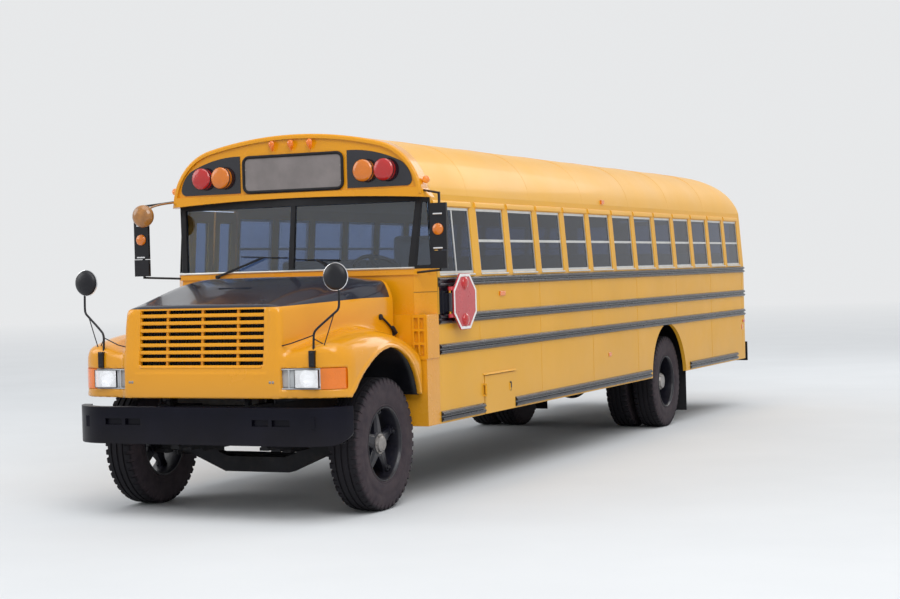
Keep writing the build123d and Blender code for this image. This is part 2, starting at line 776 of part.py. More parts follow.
def corner_loft(low_z, high_z, start, end, front, back):
    with BuildPart() as shape:
        for z in (low_z, high_z):
            with BuildSketch(Plane.XY.offset(z)):
                with BuildLine():
                    Polyline(*corner_quad(z, start, end, front, back), close=True)
                make_face()
        loft(ruled=True)
    return shape.part


corner_pane = (0.16, 0.84)
corner_low_z = cowl_top + 30
corner_high_z = 2375
with BuildPart() as windshield_frame:
    with BuildSketch(glass_plane()):
        with BuildLine():
            pane_outline(0, 640, -60, 1087, 1149)
        make_face()
        with BuildLine():
            pane_outline(14, pane_high, centre_post, 1040, 1092)
        make_face(mode=Mode.SUBTRACT)
    extrude(amount=-wall)
    add(corner_loft(cowl_top, 2460, 0, 1, 0, wall))
    add(corner_loft(corner_low_z, corner_high_z, *corner_pane, -20, 2 * wall), mode=Mode.SUBTRACT)
    block(-200, 0, cowl_y - 100, side_front_y + 50, cowl_top - 20, 2600, mode=Mode.SUBTRACT)
    block(-10, 2 * half, cowl_y - 100, side_front_y + 50, cowl_top - 60, cowl_top, mode=Mode.SUBTRACT)
    block(half - 200, 2 * half, side_front_y, side_front_y + 100, cowl_top - 60, 2600, mode=Mode.SUBTRACT)
    mirror(about=Plane.YZ)
    with BuildSketch(cross_plane(cowl_y - 100)):
        with BuildLine():
            ThreePointArc((-brim_half, brim_low), (0, brim_low + brim_rise), (brim_half, brim_low))
            Polyline((brim_half, brim_low), (brim_half, 2700), (-brim_half, 2700), (-brim_half, brim_low))
        make_face()
    extrude(amount=-500, mode=Mode.SUBTRACT)
save(windshield_frame.part, "windshield_frame")

with BuildPart() as windshield:
    with BuildSketch(glass_plane(14)):
        with BuildLine():
            pane_outline(14, pane_high, centre_post, 1040, 1092)
        make_face()
    extrude(amount=-glass_thick)
    add(corner_loft(corner_low_z, corner_high_z, corner_pane[0] + 0.002, corner_pane[1] - 0.002, 14, 14 + glass_thick))
    mirror(about=Plane.YZ)
save(windshield.part, "windshield")

# Window sashes: an aluminium frame with a middle bar in each opening, and the driver's sliding pair.
sash_depth = 8


def sash_spans():
    """Each opening's side, its ends along the bus, and whether it is the driver's sliding window."""
    spans = []
    for side in (1, -1):
        for y in window_fronts():
            spans.append((side, y, y + window_width, False))
    spans.append((1, driver_window[0], driver_window[1], True))
    return spans


def sash_panes(width, sliding):
    """Centre and size of the two panes of one sash, in its own plane."""
    inner_h = window_height - 2 * sash_bar
    inner_w = width - 2 * sash_bar
    mid = 6 + window_height / 2
    if sliding:
        pane_w = (inner_w - sash_bar) / 2
        step = (pane_w + sash_bar) / 2
        return [((-step, mid), pane_w, inner_h), ((step, mid), pane_w, inner_h)]
    pane_h = (inner_h - sash_bar) / 2
    step = (pane_h + sash_bar) / 2
    return [((0, mid - step), inner_w, pane_h), ((0, mid + step), inner_w, pane_h)]


with BuildPart() as window_sashes:
    for side, y0, y1, sliding in sash_spans():
        with BuildSketch(wall_plane(side, (y0 + y1) / 2, sill_z).offset(-sash_depth)):
            with Locations((0, 6 + window_height / 2)):
                Rectangle(y1 - y0, window_height)
            for centre, width, height in sash_panes(y1 - y0, sliding):
                with Locations(centre):
                    Rectangle(width, height, mode=Mode.SUBTRACT)
        extrude(amount=-sash_thick)
save(window_sashes.part, "window_sashes")

with BuildPart() as cabin_glass:
    for side, y0, y1, sliding in sash_spans():
        with BuildSketch(wall_plane(side, (y0 + y1) / 2, sill_z).offset(-sash_depth - 8)):
            for centre, width, height in sash_panes(y1 - y0, sliding):
                with Locations(centre):
                    Rectangle(width, height)
        extrude(amount=-glass_thick)
    for side in (1, -1):
        x0, x1 = (side * x for x in rear_window_x)
        block(x0, x1, rear_wall_y + 12, rear_wall_y + 12 + glass_thick, sill_z, sill_z + window_height)
save(cabin_glass.part, "cabin_glass")

# Rub rails: double-ribbed strips along both sides, broken at the doors and the rear arch.
rail_table = [
    # centre height, height, kind
    (1730, 78, "full"),
    (1430, 84, "full"),
    (1187, 86, "full"),
    (647, 88, "skirt"),
]
rail_proud = 14
with BuildPart() as rub_rails:
    for centre_z, height, kind in rail_table:
        for side in (1, -1):
            start = side_front_y + 12 if side > 0 else door_rear_y + 30
            if kind == "full":
                spans = [(start, rear_wall_y)]
            else:
                arch_front = rear_axle_y + arch_points[0][0] - 60
                arch_rear = rear_axle_y + arch_points[-1][0] + 150
                spans = [(arch_rear, rear_end_y - 412)]
                if side > 0:
                    spans += [(start, battery_door_y[0] - 6), (battery_door_y[1] + 6, arch_front)]
                else:
                    spans += [(start, arch_front)]
            for y0, y1 in spans:
                with BuildSketch(cross_plane(y0)):
                    with BuildLine():
                        low = centre_z - height / 2
                        Polyline(
                            (side * half, low),
                            (side * (half + rail_proud), low + 8),
                            (side * (half + rail_proud), low + height * 0.36),
                            (side * (half + 3), low + height * 0.46),
                            (side * (half + 3), low + height * 0.54),
                            (side * (half + rail_proud), low + height * 0.64),
                            (side * (half + rail_proud), low + height - 8),
                            (side * half, low + height),
                            close=True,
                        )
                    make_face()
                extrude(amount=-(y1 - y0))
save(rub_rails.part, "rub_rails")

# Doors. Each entrance leaf and the emergency door is a whole thickness with its window cut.
leaf_low = step_low + 10
leaf_gap = 30
leaf_meet_y = (door_front_y + door_rear_y) / 2
leaf_table = [
    # name, front end, rear end
    ("front", door_front_y + door_gap, leaf_meet_y - leaf_gap / 2),
    ("rear", leaf_meet_y + leaf_gap / 2, door_rear_y - door_gap),
]
leaf_window = (200, 1250, 2290)
for name, y0, y1 in leaf_table:
    middle = (y0 + y1) / 2
    pane_y0 = middle - leaf_window[0] / 2
    pane_y1 = middle + leaf_window[0] / 2
    with BuildPart() as leaf:
        with BuildSketch(cross_plane(y0)):
            with BuildLine():
                Polyline(
                    (-half, leaf_low),
                    (-half, sill_z),
                    (-wall_x(header_z - door_gap), header_z - door_gap),
                    (-wall_x(header_z - door_gap) + wall - 4, header_z - door_gap),
                    (-half + wall - 4, sill_z),
                    (-half + wall - 4, leaf_low),
                    close=True,
                )
            make_face()
        extrude(amount=-(y1 - y0))
        block(-half - 1, -half + 3 * wall, pane_y0, pane_y1, leaf_window[1], leaf_window[2], mode=Mode.SUBTRACT)
        for z in door_hinge_zs:
            if name == "front":
                hinge_knuckle(-half - hinge_out, door_front_y, z, -half, y0 + 24)
            else:
                hinge_knuckle(-half - hinge_out, door_rear_y, z, -half, y1 - 24)
    save(leaf.part, f"entrance_leaf_{name}")
    with BuildPart() as pane:
        with BuildSketch(cross_plane(pane_y0)):
            with BuildLine():
                Polyline(
                    (-half + 14, leaf_window[1]),
                    (-half + 14, sill_z),
                    (-wall_x(leaf_window[2]) + 14, leaf_window[2]),
                    (-wall_x(leaf_window[2]) + 14 + glass_thick, leaf_window[2]),
                    (-half + 14 + glass_thick, sill_z),
                    (-half + 14 + glass_thick, leaf_window[1]),
                    close=True,
                )
            make_face()
        extrude(amount=-(pane_y1 - pane_y0))
    save(pane.part, f"entrance_glass_{name}")

exit_windows = [(sill_z, sill_z + window_height), (1240, 1600)]
with BuildPart() as emergency_door:
    block(-exit_half, exit_half, rear_wall_y + 4, rear_end_y, exit_low + door_gap, exit_high - door_gap)
    for low, high in exit_windows:
        block(-330, 330, rear_wall_y, rear_end_y + 1, low, high, mode=Mode.SUBTRACT)
    block(exit_half - 90, exit_half - 60, rear_end_y, rear_end_y + 40, 1660, 1760)
    for z in exit_hinge_zs:
        hinge_knuckle(-exit_half - door_gap, rear_end_y + hinge_out, z, 24 - exit_half, rear_end_y)
save(emergency_door.part, "emergency_door")
with BuildPart() as emergency_glass:
    for low, high in exit_windows:
        block(-330, 330, rear_wall_y + 14, rear_wall_y + 14 + glass_thick, low, high)
save(emergency_glass.part, "emergency_glass")

with BuildPart() as battery_door:
    y0, y1 = battery_door_y
    z0, z1 = battery_door_z
    block(half - 22, half + 4, y0 + door_gap, y1 - door_gap, z0 + 2, z1 - door_gap)
    block(half + 4, half + 10, y1 - 130, y1 - 105, (z0 + z1) / 2, (z0 + z1) / 2 + 60)
    hinge_knuckle(battery_hinge_x, y0, battery_hinge_z, half + 4, y0 + 30)
save(battery_door.part, "battery_door")

# Stop arm: an octagon folded flat along the left side, with an upright hinge.
with BuildPart() as stop_arm:
    with BuildSketch(Plane.YZ.offset(sign_x - 5)):
        with Locations((sign_y, sign_z)):
            RegularPolygon(sign_width / 2, 8, major_radius=False, rotation=22.5)
    extrude(amount=10)
    for z in (sign_z - 110, sign_z + 110):
        block(sign_x - 25, sign_x - 5, stop_hinge_y, sign_y - 60, z - 15, z + 15)
        with Locations((sign_x - 15, stop_hinge_y, z)):
            Cylinder(16, 30)
    with Locations((sign_x - 15, stop_hinge_y, sign_z)):
        Cylinder(8, 300, mode=Mode.SUBTRACT)
save(stop_arm.part, "stop_arm")


# Hood: one tilting shell with both fenders, the grille and the lamp openings.
hood_rear_y = front_axle_y + 540
hood_low = 889
fender_low = 855
fender_half = 1200
hood_skin = 15
nose_y = front_axle_y - 830
nose_half = 690
hood_stations = [
    # place along the bus, then half width and height of the centre, crest, shoulder and side
    (front_axle_y - 792, (0, 1592), (600, 1590), (668, 1576), (688, 1500)),
    (front_axle_y - 200, (0, 1756), (600, 1744), (795, 1672), (835, 1560)),
    (hood_rear_y, (0, 1792), (600, 1788), (890, 1752), (945, 1640)),
]
arch_centre = [(-612, 921), (-340, 1154), (0, 1247), (330, 1128), (492, 850)]


def nose_outline(inset, rear):
    """Plan of the nose and fenders."""
    with BuildSketch() as outline:
        with BuildLine():
            for side in (1, -1):
                Line((0, nose_y), (side * 560, nose_y))
                Line((side * 560, nose_y), (side * 980, front_axle_y - 762))
                ThreePointArc(
                    (side * 980, front_axle_y - 762),
                    (side * 1110, front_axle_y - 697),
                    (side * 1180, front_axle_y - 570),
                )
                Line((side * 1180, front_axle_y - 570), (side * fender_half, front_axle_y - 380))
                Line((side * fender_half, front_axle_y - 380), (side * fender_half, rear))
            Line((fender_half, rear), (-fender_half, rear))
        make_face()
        if inset:
            offset(amount=-inset, kind=Kind.INTERSECTION, mode=Mode.REPLACE)
    return outline.sketch


def fender_side(inset, rear, low):
    """Side view of the fenders, drawn in Y and Z."""
    rear_high = 1362 - 0.38 * (rear - front_axle_y - 300)
    with BuildSketch() as outline:
        with BuildLine():
            Line((nose_y - 10, low), (nose_y - 10, 1150))
            ThreePointArc((nose_y - 10, 1150), (front_axle_y - 758, 1255), (front_axle_y - 600, 1345))
            ThreePointArc(
                (front_axle_y - 600, 1345),
                (front_axle_y - 100, 1415),
                (front_axle_y + 300, 1362),
            )
            Polyline((front_axle_y + 300, 1362), (rear, rear_high), (rear, low), (nose_y - 10, low))
        make_face()
        if inset:
            offset(amount=-inset, kind=Kind.INTERSECTION, mode=Mode.REPLACE)
    return outline.sketch


def fender_front(inset, low):
    """Front view of the fenders, with their round outer shoulders."""
    with BuildSketch() as outline:
        with BuildLine():
            for side in (1, -1):
                Line((0, 1430), (side * 780, 1430))
                ThreePointArc((side * 780, 1430), (side * 1090, 1340), (side * 1206, 1150))
                Line((side * 1206, 1150), (side * 1206, low))
            Line((1206, low), (-1206, low))
        make_face()
        if inset:
            offset(amount=-inset, kind=Kind.INTERSECTION, mode=Mode.REPLACE)
    return outline.sketch


def hood_form(inset, rear, low):
    """The nose and fenders as three crossed outlines, with the tapered centre lofted on top."""
    with BuildPart() as fenders:
        with BuildSketch(Plane.XY.offset(low)):
            add(nose_outline(inset, rear))
        extrude(amount=1500)
        with BuildSketch(Plane.YZ.offset(-2 * half)):
            add(fender_side(inset, rear, low))
        extrude(amount=4 * half, mode=Mode.INTERSECT)
        with BuildSketch(cross_plane(nose_y - 50)):
            add(fender_front(inset, low))
        extrude(amount=-2000, mode=Mode.INTERSECT)
    with BuildPart() as centre:
        for y, middle, crest, shoulder, edge in hood_stations:
            place = max(y, hood_stations[0][0] + inset)
            place = rear if y == hood_rear_y else place
            half_line = [
                (0, middle[1] - inset),
                (crest[0], crest[1] - inset),
                (shoulder[0] - inset, shoulder[1] - inset),
                (edge[0] - inset, edge[1]),
                (edge[0] + 12 - inset, low),
            ]
            with BuildSketch(cross_plane(place)):
                with BuildLine():
                    Polyline(*half_line, *[(-x, z) for x, z in reversed(half_line[1:])], close=True)
                make_face()
        loft(ruled=True)
        with BuildSketch(Plane.YZ.offset(inset - nose_half)):
            with BuildLine():
                Polyline(
                    (nose_y - 8 + inset, low),
                    (nose_y - 8 + inset, 1110),
                    (front_axle_y - 800 + inset, 1584 - inset),
                    (front_axle_y - 770, 1596 - inset),
                    (front_axle_y - 770, low),
                    close=True,
                )
            make_face()
        extrude(amount=2 * (nose_half - inset))
    with BuildPart() as whole:
        add(fenders.part)
        add(centre.part)
    return whole.part


grille_half = 543
grille_low = 1162
grille_high = 1574
grille_rows = 8
grille_bar = 22
grille_posts = [(-grille_half, -322), (-298, -12), (12, 298), (322, grille_half)]
lamp_low = 982
lamp_high = 1134
lamp_x = (560, 745, 985, 1140)
hinge_lug = (296, 322)
with BuildPart() as hood:
    add(hood_form(0, hood_rear_y, fender_low))
    block(-2 * half, 2 * half, nose_y - 50, front_axle_y - 560, fender_low - 1, hood_low, mode=Mode.SUBTRACT)
    add(hood_form(hood_skin, hood_rear_y + 100, fender_low - 100), mode=Mode.SUBTRACT)
    with BuildSketch(Plane.YZ.offset(-2 * half)):
        with BuildLine():
            arch = [(front_axle_y + y, z) for y, z in arch_centre]
            Line((arch[0][0], fender_low - 60), arch[0])
            ThreePointArc(arch[0], arch[1], arch[2])
            ThreePointArc(arch[2], arch[3], arch[4])
            Line(arch[4], (arch[4][0], fender_low - 60))
            Line((arch[4][0], fender_low - 60), (arch[0][0], fender_low - 60))
        make_face()
    extrude(amount=4 * half, mode=Mode.SUBTRACT)
    row_pitch = (grille_high - grille_low) / grille_rows
    for row in range(grille_rows):
        low = grille_low + row * row_pitch + grille_bar / 2
        for x0, x1 in grille_posts:
            block(x0, x1, nose_y - 40, nose_y + 60, low, low + row_pitch - grille_bar, mode=Mode.SUBTRACT)
    for side in (1, -1):
        block(side * lamp_x[0], side * lamp_x[3], nose_y - 40, front_axle_y - 560, lamp_low, lamp_high, mode=Mode.SUBTRACT)
        x0, x1 = (side * x for x in hinge_lug)
        block(x0, x1, nose_y, hood_hinge_y + 22, hood_hinge_z - 14, hood_hinge_z + 40)
        with BuildSketch(Plane.YZ.offset(side * hinge_lug[0] - (40 if side < 0 else 0))):
            with Locations((hood_hinge_y, hood_hinge_z)):
                Circle(hinge_pin_radius + fit_gap)
        extrude(amount=40, mode=Mode.SUBTRACT)
save(hood.part, "hood")

# Headlamps with their grey bezels, and the amber lamps that wrap round the nose.
def lamp_strip(x0, x1, front, back):
    """A band that follows the nose in plan, between two x places and two depths, for both sides."""
    with BuildPart() as shape:
        with BuildSketch(Plane.XY.offset(lamp_low)):
            add(nose_outline(front, hood_rear_y))
        extrude(amount=lamp_high - lamp_low)
        with BuildSketch(Plane.XY.offset(lamp_low)):
            add(nose_outline(back, hood_rear_y))
        extrude(amount=lamp_high - lamp_low, mode=Mode.SUBTRACT)
        block(x0, x1, nose_y - 50, front_axle_y - 600, lamp_low, lamp_high, mode=Mode.INTERSECT)
        mirror(about=Plane.YZ)
    return shape.part


bezel_rim = 10
with BuildPart() as lamp_bezels:
    add(lamp_strip(lamp_x[0], lamp_x[2], 0.1, 60))
    for side in (1, -1):
        x0 = side * (lamp_x[0] + bezel_rim)
        x1 = side * (lamp_x[1] - bezel_rim)
        block(x0, x1, nose_y - 50, nose_y + 70, lamp_low + bezel_rim, lamp_high - bezel_rim, mode=Mode.SUBTRACT)
        x0 = side * lamp_x[1]
        x1 = side * (lamp_x[2] - 4)
        block(x0, x1, nose_y - 50, nose_y + 200, lamp_low + bezel_rim, lamp_high - bezel_rim, mode=Mode.SUBTRACT)
        block(side * lamp_x[0], side * lamp_x[1], nose_y + 80, nose_y + 86, lamp_low, lamp_high)
        block(side * lamp_x[0], side * (lamp_x[0] + 6), nose_y + 40, nose_y + 86, lamp_low, lamp_high)
save(lamp_bezels.part, "lamp_bezels")

with BuildPart() as headlamps:
    add(lamp_strip(lamp_x[1], lamp_x[2] - 4, 4, 50))
    low = lamp_low + bezel_rim
    high = lamp_high - bezel_rim
    block(-2 * half, 2 * half, nose_y - 50, front_axle_y, low, high, mode=Mode.INTERSECT)
save(headlamps.part, "headlamps")

with BuildPart() as turn_lamps:
    add(lamp_strip(lamp_x[2], lamp_x[3], -3, 40))
save(turn_lamps.part, "turn_lamps")

# Steering knuckles: a yoke above and below the axle's eye, the spindle and the steering arm.
spindle_end_x = front_track / 2 + 75
yoke_plate = 34
arm_ball = (0, 190)
ball_radius = 12
rod_z = 393
knuckle_back_x = kingpin_half + 62
knuckles = {}
for name, side in (("left", 1), ("right", -1)):
    with BuildPart() as knuckle:
        top = tyre_radius + eye_half + knuckle_gap
        bottom = tyre_radius - eye_half - knuckle_gap
        for low in (top, bottom - yoke_plate):
            x = side * kingpin_half
            with Locations((x, front_axle_y, low + yoke_plate / 2)):
                Cylinder(48, yoke_plate)
            block(x, side * (knuckle_back_x + 20), front_axle_y - 48, front_axle_y + 48, low, low + yoke_plate)
        block(
            side * knuckle_back_x,
            side * (knuckle_back_x + 20),
            front_axle_y - 48,
            front_axle_y + 48,
            bottom - yoke_plate,
            top + yoke_plate,
        )
        with Locations((side * kingpin_half, front_axle_y, tyre_radius)):
            Cylinder(kingpin_radius + fit_gap, 400, mode=Mode.SUBTRACT)
        with BuildSketch(Plane.YZ.offset(side * (knuckle_back_x + 10))):
            with Locations((front_axle_y, tyre_radius)):
                Circle(spindle_radius - 10)
        extrude(amount=side * (spindle_end_x - knuckle_back_x - 10))
        arm_z = bottom - yoke_plate + 6
        with BuildSketch(Plane.XY.offset(arm_z)):
            ball = (side * (kingpin_half + arm_ball[0]), front_axle_y + arm_ball[1])
            root = side * kingpin_half
            with BuildLine():
                Polyline(
                    (root - 30, front_axle_y + 40),
                    (root + 30, front_axle_y + 40),
                    (ball[0] + 20, ball[1]),
                    (ball[0] - 20, ball[1]),
                    close=True,
                )
            make_face()
            with Locations(ball):
                Circle(24)
        extrude(amount=24)
        with Locations((ball[0], ball[1], (arm_z + rod_z - 20) / 2)):
            Cylinder(ball_radius, arm_z - rod_z + 20)
    save(knuckle.part, f"knuckle_{name}")

with BuildPart() as tie_rod:
    rod_half = kingpin_half + arm_ball[0]
    rod_y = front_axle_y + arm_ball[1]
    with BuildSketch(Plane.YZ.offset(-rod_half)):
        with Locations((rod_y, rod_z)):
            Circle(16)
    extrude(amount=2 * rod_half)
    for side in (1, -1):
        with Locations((side * rod_half, rod_y, rod_z)):
            Cylinder(26, 32)
            Cylinder(ball_radius + fit_gap, 40, mode=Mode.SUBTRACT)
save(tie_rod.part, "tie_rod")


# Wheels. A tyre's section has few corners so that its mesh stays light.
def ring(centre_x, axle_y, section, side=1):
    """A solid turned about the axle from a section of (place across the bus, radius)."""
    with BuildPart() as shape:
        with BuildSketch(Plane.XY):
            with BuildLine():
                Polyline(*[(side * (centre_x + x), r) for x, r in section], close=True)
            make_face()
        revolve(axis=Axis.X)
    return shape.part.moved(Location((0, axle_y, tyre_radius)))


tread_half = 106
bulge_radius = 410
bead_half = 112
full_tyre = [
    (-tread_half, tyre_radius),
    (tread_half, tyre_radius),
    (tyre_width / 2, bulge_radius),
    (bead_half, rim_radius),
    (-bead_half, rim_radius),
    (-tyre_width / 2, bulge_radius),
]
plain_tyre = [
    (-tread_half, tyre_radius),
    (tread_half, tyre_radius),
    (tyre_width / 2 - 6, rim_radius),
    (6 - tyre_width / 2, rim_radius),
]
front_rim = [
    (-115, rim_radius - fit_gap),
    (115, rim_radius - fit_gap),
    (115, 268),
    (-115, 268),
]
hub_bore = spindle_radius - 10 + fit_gap
front_hub = [(-40, hub_bore), (-40, 105), (60, 105), (92, 70), (92, 0), (80, 0), (80, hub_bore)]
spoke_count = 5
for name, side in (("left", 1), ("right", -1)):
    centre = front_track / 2
    save(ring(centre, front_axle_y, full_tyre, side), f"front_tyre_{name}")
    with BuildPart() as wheel:
        add(ring(centre, front_axle_y, front_rim, side))
        add(ring(centre, front_axle_y, front_hub, side))
        with BuildSketch(Plane.YZ.offset(side * (centre - 30))):
            with Locations((front_axle_y, tyre_radius)):
                with PolarLocations(0, spoke_count, start_angle=90):
                    Polygon((95, -52), (272, -40), (272, 40), (95, 52), align=None)
        extrude(amount=side * 70)
    save(wheel.part, f"front_wheel_{name}")

rear_outer_x = rear_outer_track / 2
rear_inner_x = rear_outer_x - twin_spacing
barrel_radius = 262
disc_x = (rear_outer_x + rear_inner_x) / 2
rear_wheel = [
    (rear_inner_x - 118, rim_radius - fit_gap),
    (rear_outer_x + 118, rim_radius - fit_gap),
    (rear_outer_x + 118, barrel_radius),
    (disc_x + 30, barrel_radius),
    (disc_x + 30, 110),
    (rear_outer_x + 78, 90),
    (rear_outer_x + 78, 0),
    (rear_outer_x + 64, 0),
    (rear_outer_x + 64, spindle_radius + fit_gap),
    (rear_inner_x - 90, spindle_radius + fit_gap),
    (rear_inner_x - 90, 110),
    (disc_x, 110),
    (disc_x, barrel_radius),
    (rear_inner_x - 118, barrel_radius),
]
for name, side in (("left", 1), ("right", -1)):
    with BuildPart() as tyres:
        add(ring(rear_outer_x, rear_axle_y, full_tyre, side))
        add(ring(rear_inner_x, rear_axle_y, plain_tyre, side))
    save(tyres.part, f"rear_tyres_{name}")
    save(ring(0, rear_axle_y, rear_wheel, side), f"rear_wheels_{name}")

# Mud flaps behind the rear twins.
flap_y = rear_axle_y + 640
with BuildPart() as mud_flaps:
    for side in (1, -1):
        block(side * 560, side * 1170, flap_y, flap_y + 10, 130, floor_top - floor_thick)
save(mud_flaps.part, "mud_flaps")

# Warning lamps in pairs on black panels at the front cap and the rear wall.
lamp_centre_z = 2645
lamp_radius = 89
lamp_depth = 45
panel_face_y = cap_y + cap_recess
red_x = 857
amber_x = 669
rear_lamp_z = 2600
with BuildPart() as lamp_panels:
    with BuildSketch(cross_plane(panel_face_y)):
        for side in (1, -1):
            with BuildLine():
                Line((side * 504, 2510), (side * 504, 2818))
                ThreePointArc((side * 504, 2818), (side * 800, 2782), (side * 985, 2712))
                ThreePointArc((side * 985, 2712), (side * 1055, 2640), (side * 1084, 2555))
                ThreePointArc((side * 1084, 2555), (side * 1066, 2520), (side * 1030, 2510))
                Line((side * 1030, 2510), (side * 504, 2510))
            make_face()
    extrude(amount=6)
    with BuildSketch(cross_plane(rear_end_y + 6)):
        for side in (1, -1):
            with Locations((side * (red_x + amber_x) / 2, rear_lamp_z)):
                RectangleRounded(400, 200, 60)
    extrude(amount=6)
save(lamp_panels.part, "lamp_panels")


def warning_lamps(x):
    """The round warning lamps of one colour, front and rear."""
    for back_y, z, way in ((panel_face_y - 6, lamp_centre_z, -1), (rear_end_y + 6, rear_lamp_z, 1)):
        with Locations(*[(side * x, back_y + way * lamp_depth / 2, z) for side in (1, -1)]):
            Cylinder(lamp_radius, lamp_depth, rotation=(90, 0, 0))


with BuildPart() as sign_panels:
    for face_y, z in ((panel_face_y, 2659), (rear_end_y + 14, rear_lamp_z)):
        with BuildSketch(cross_plane(face_y)):
            with Locations((0, z)):
                RectangleRounded(928, 290 if face_y < 0 else 200, 45)
        extrude(amount=14)
save(sign_panels.part, "sign_panels")

with BuildPart() as amber_lamps:
    warning_lamps(amber_x)
    for x in (-178, 0, 178):
        block(x - 40, x + 40, cap_y - 14, cap_y + cap_recess, 2885, 2925)
    for side in (1, -1):
        with BuildSketch(wall_plane(side, front_axle_y + 4900, 2470)):
            Rectangle(80, 40)
        extrude(amount=22)
        block(side * half, side * (half + 12), front_axle_y + 2060, front_axle_y + 2180, 1590, 1630)
        block(side * half, side * (half + 8), front_axle_y + 4860, front_axle_y + 4940, 905, 945)
        block(side * 1150, side * (half + 6), front_axle_y + 690, front_axle_y + 730, 2530, 2580)
    add(front_cap.part, mode=Mode.SUBTRACT)
save(amber_lamps.part, "amber_lamps")

with BuildPart() as red_lamps:
    warning_lamps(red_x)
    for x in (-178, 0, 178):
        block(x - 40, x + 40, rear_end_y, rear_end_y + 22, 2740, 2770)
    for side in (1, -1):
        with BuildSketch(cross_plane(rear_end_y + 30)):
            with Locations((side * 1040, 1180)):
                Circle(90)
        extrude(amount=30)
        block(side * half, side * (half + 12), rear_end_y - 140, rear_end_y - 60, 1060, 1090)
save(red_lamps.part, "red_lamps")

# Mirrors: tall west-coast mirrors at both front corners, and the round ones on the fenders.
with BuildPart() as body_mirrors:
    for side in (1, -1):
        y = front_axle_y + 500
        x = side * 1386
        block(x - 71, x + 71, y - 25, y, 1985, 2353)
        block(x - 71, x + 71, y - 30, y, 1840, 1980)
        block(x - 8, x + 8, y, y + 16, 1820, 2440)
        arm_top = Vector(x, y + 8, 2432)
        arm_low = Vector(x, y + 8, 1828)
        for start, end in (
            (arm_top, Vector(side * 1150, cap_y + 60, 2470)),
            (arm_low, Vector(side * 1110, post_y + 20, 1812)),
        ):
            run = end - start
            with BuildSketch(Plane(origin=start, z_dir=run)):
                Circle(9)
            extrude(amount=run.length)
    add(front_cap.part, mode=Mode.SUBTRACT)
    add(cowl.part, mode=Mode.SUBTRACT)
save(body_mirrors.part, "body_mirrors")

mirror_radius = 103
mirror_x = 1100
mirror_z = 1799
mirror_path = [(925, -748, 1250), (925, -740, 1383), (1122, -705, 1568), (1122, -700, 1712)]
with BuildPart() as fender_mirrors:
    for side in (1, -1):
        points = [Vector(side * x, front_axle_y + y, z) for x, y, z in mirror_path]
        for start, end in zip(points, points[1:]):
            run = end - start
            with BuildSketch(Plane(origin=start, z_dir=run)):
                Circle(9)
            extrude(amount=run.length)
        for x, y, z in points[1:-1]:
            with Locations((x, y, z)):
                Sphere(9)
        block(side * 905, side * 950, front_axle_y - 788, front_axle_y - 762, lamp_high + 8, 1262)
        with BuildSketch(cross_plane(front_axle_y - 680)):
            with Locations((side * mirror_x, mirror_z)):
                Circle(mirror_radius)
        extrude(amount=40)
    add(hood.part, mode=Mode.SUBTRACT)
save(fender_mirrors.part, "fender_mirrors")

# Seats: benches in rows down both sides and the driver's seat, with their backs as pieces of their own.
bench_rows = 11
bench_front_y = front_axle_y + 1950
bench_half_x = (210, 1150)
bench_depth = 420
bench_back = 80
cushion_z = (1400, 1520)
back_top = 1960
leg_ys = (60, 376)
driver_x = 620
driver_y = front_axle_y + 1180
driver_half = 240


def bench_places():
    """Each bench's aisle side, wall side and front end."""
    rows = [bench_front_y + row * window_pitch for row in range(bench_rows)]
    return [(side, side * bench_half_x[0], side * bench_half_x[1], y) for y in rows for side in (1, -1)]


with BuildPart() as seats:
    for side, x0, x1, y in bench_places():
        block(x0, x1, y, y + bench_depth, *cushion_z)
        for leg_y in leg_ys:
            block(x0 + side * 40, x0 + side * 80, y + leg_y, y + leg_y + 40, floor_top, cushion_z[0])
        block(x1 - side * 5, side * (half - wall), y + 100, y + 380, 1420, 1460)
    block(driver_x - driver_half, driver_x + driver_half, driver_y, driver_y + 460, 1440, 1560)
    block(driver_x - 120, driver_x + 120, driver_y + 100, driver_y + 380, floor_top, 1440)
save(seats.part, "seats")

with BuildPart() as seat_backs:
    for side, x0, x1, y in bench_places():
        block(x0, x1, y + bench_depth, y + bench_depth + bench_back, cushion_z[0], back_top)
    block(driver_x - driver_half, driver_x + driver_half, driver_y + 460, driver_y + 570, 1500, 2150)
save(seat_backs.part, "seat_backs")

# The dashboard with the steering column and wheel.
column_foot = Vector(driver_x, front_axle_y + 790, 1600)
wheel_hub = Vector(driver_x, front_axle_y + 960, 1800)
column = wheel_hub - column_foot
column_radius = 30
with BuildPart() as dashboard:
    with BuildSketch(Plane.YZ.offset(wall + fit_gap - half)):
        with BuildLine():
            Polyline(
                (front_axle_y + 690, 1560),
                (front_axle_y + 690, 1826),
                (front_axle_y + 760, 1826),
                (front_axle_y + 830, 1740),
                (front_axle_y + 800, 1560),
                close=True,
            )
        make_face()
    extrude(amount=2 * (half - wall - fit_gap))
    with BuildSketch(Plane(origin=column_foot, z_dir=column)):
        Circle(column_radius)
    extrude(amount=column.length)
    with BuildSketch(Plane(origin=wheel_hub, z_dir=column)):
        Circle(235)
        Circle(212, mode=Mode.SUBTRACT)
        Rectangle(440, 36)
        Circle(50)
    extrude(amount=24)
save(dashboard.part, "dashboard")

# Wipers parked across the lower windshield: a pivot on the cowl's ledge, an arm, and a blade on the glass.
wiper_table = [
    # pivot x, blade's outer x and z, blade's inner x and z
    (-707, (-490, 1980), (-42, 1960)),
    (470, (430, 1930), (40, 1944)),
]
pivot_z = 1817
pivot_reach = 28
pane_depth = 14


def on_glass(x, z, out):
    """A point over the windshield, a distance out from the face of its frame."""
    return Vector(x, glass_y + glass_sweep * abs(x) + glass_rake * (z - cowl_top) - out, z)


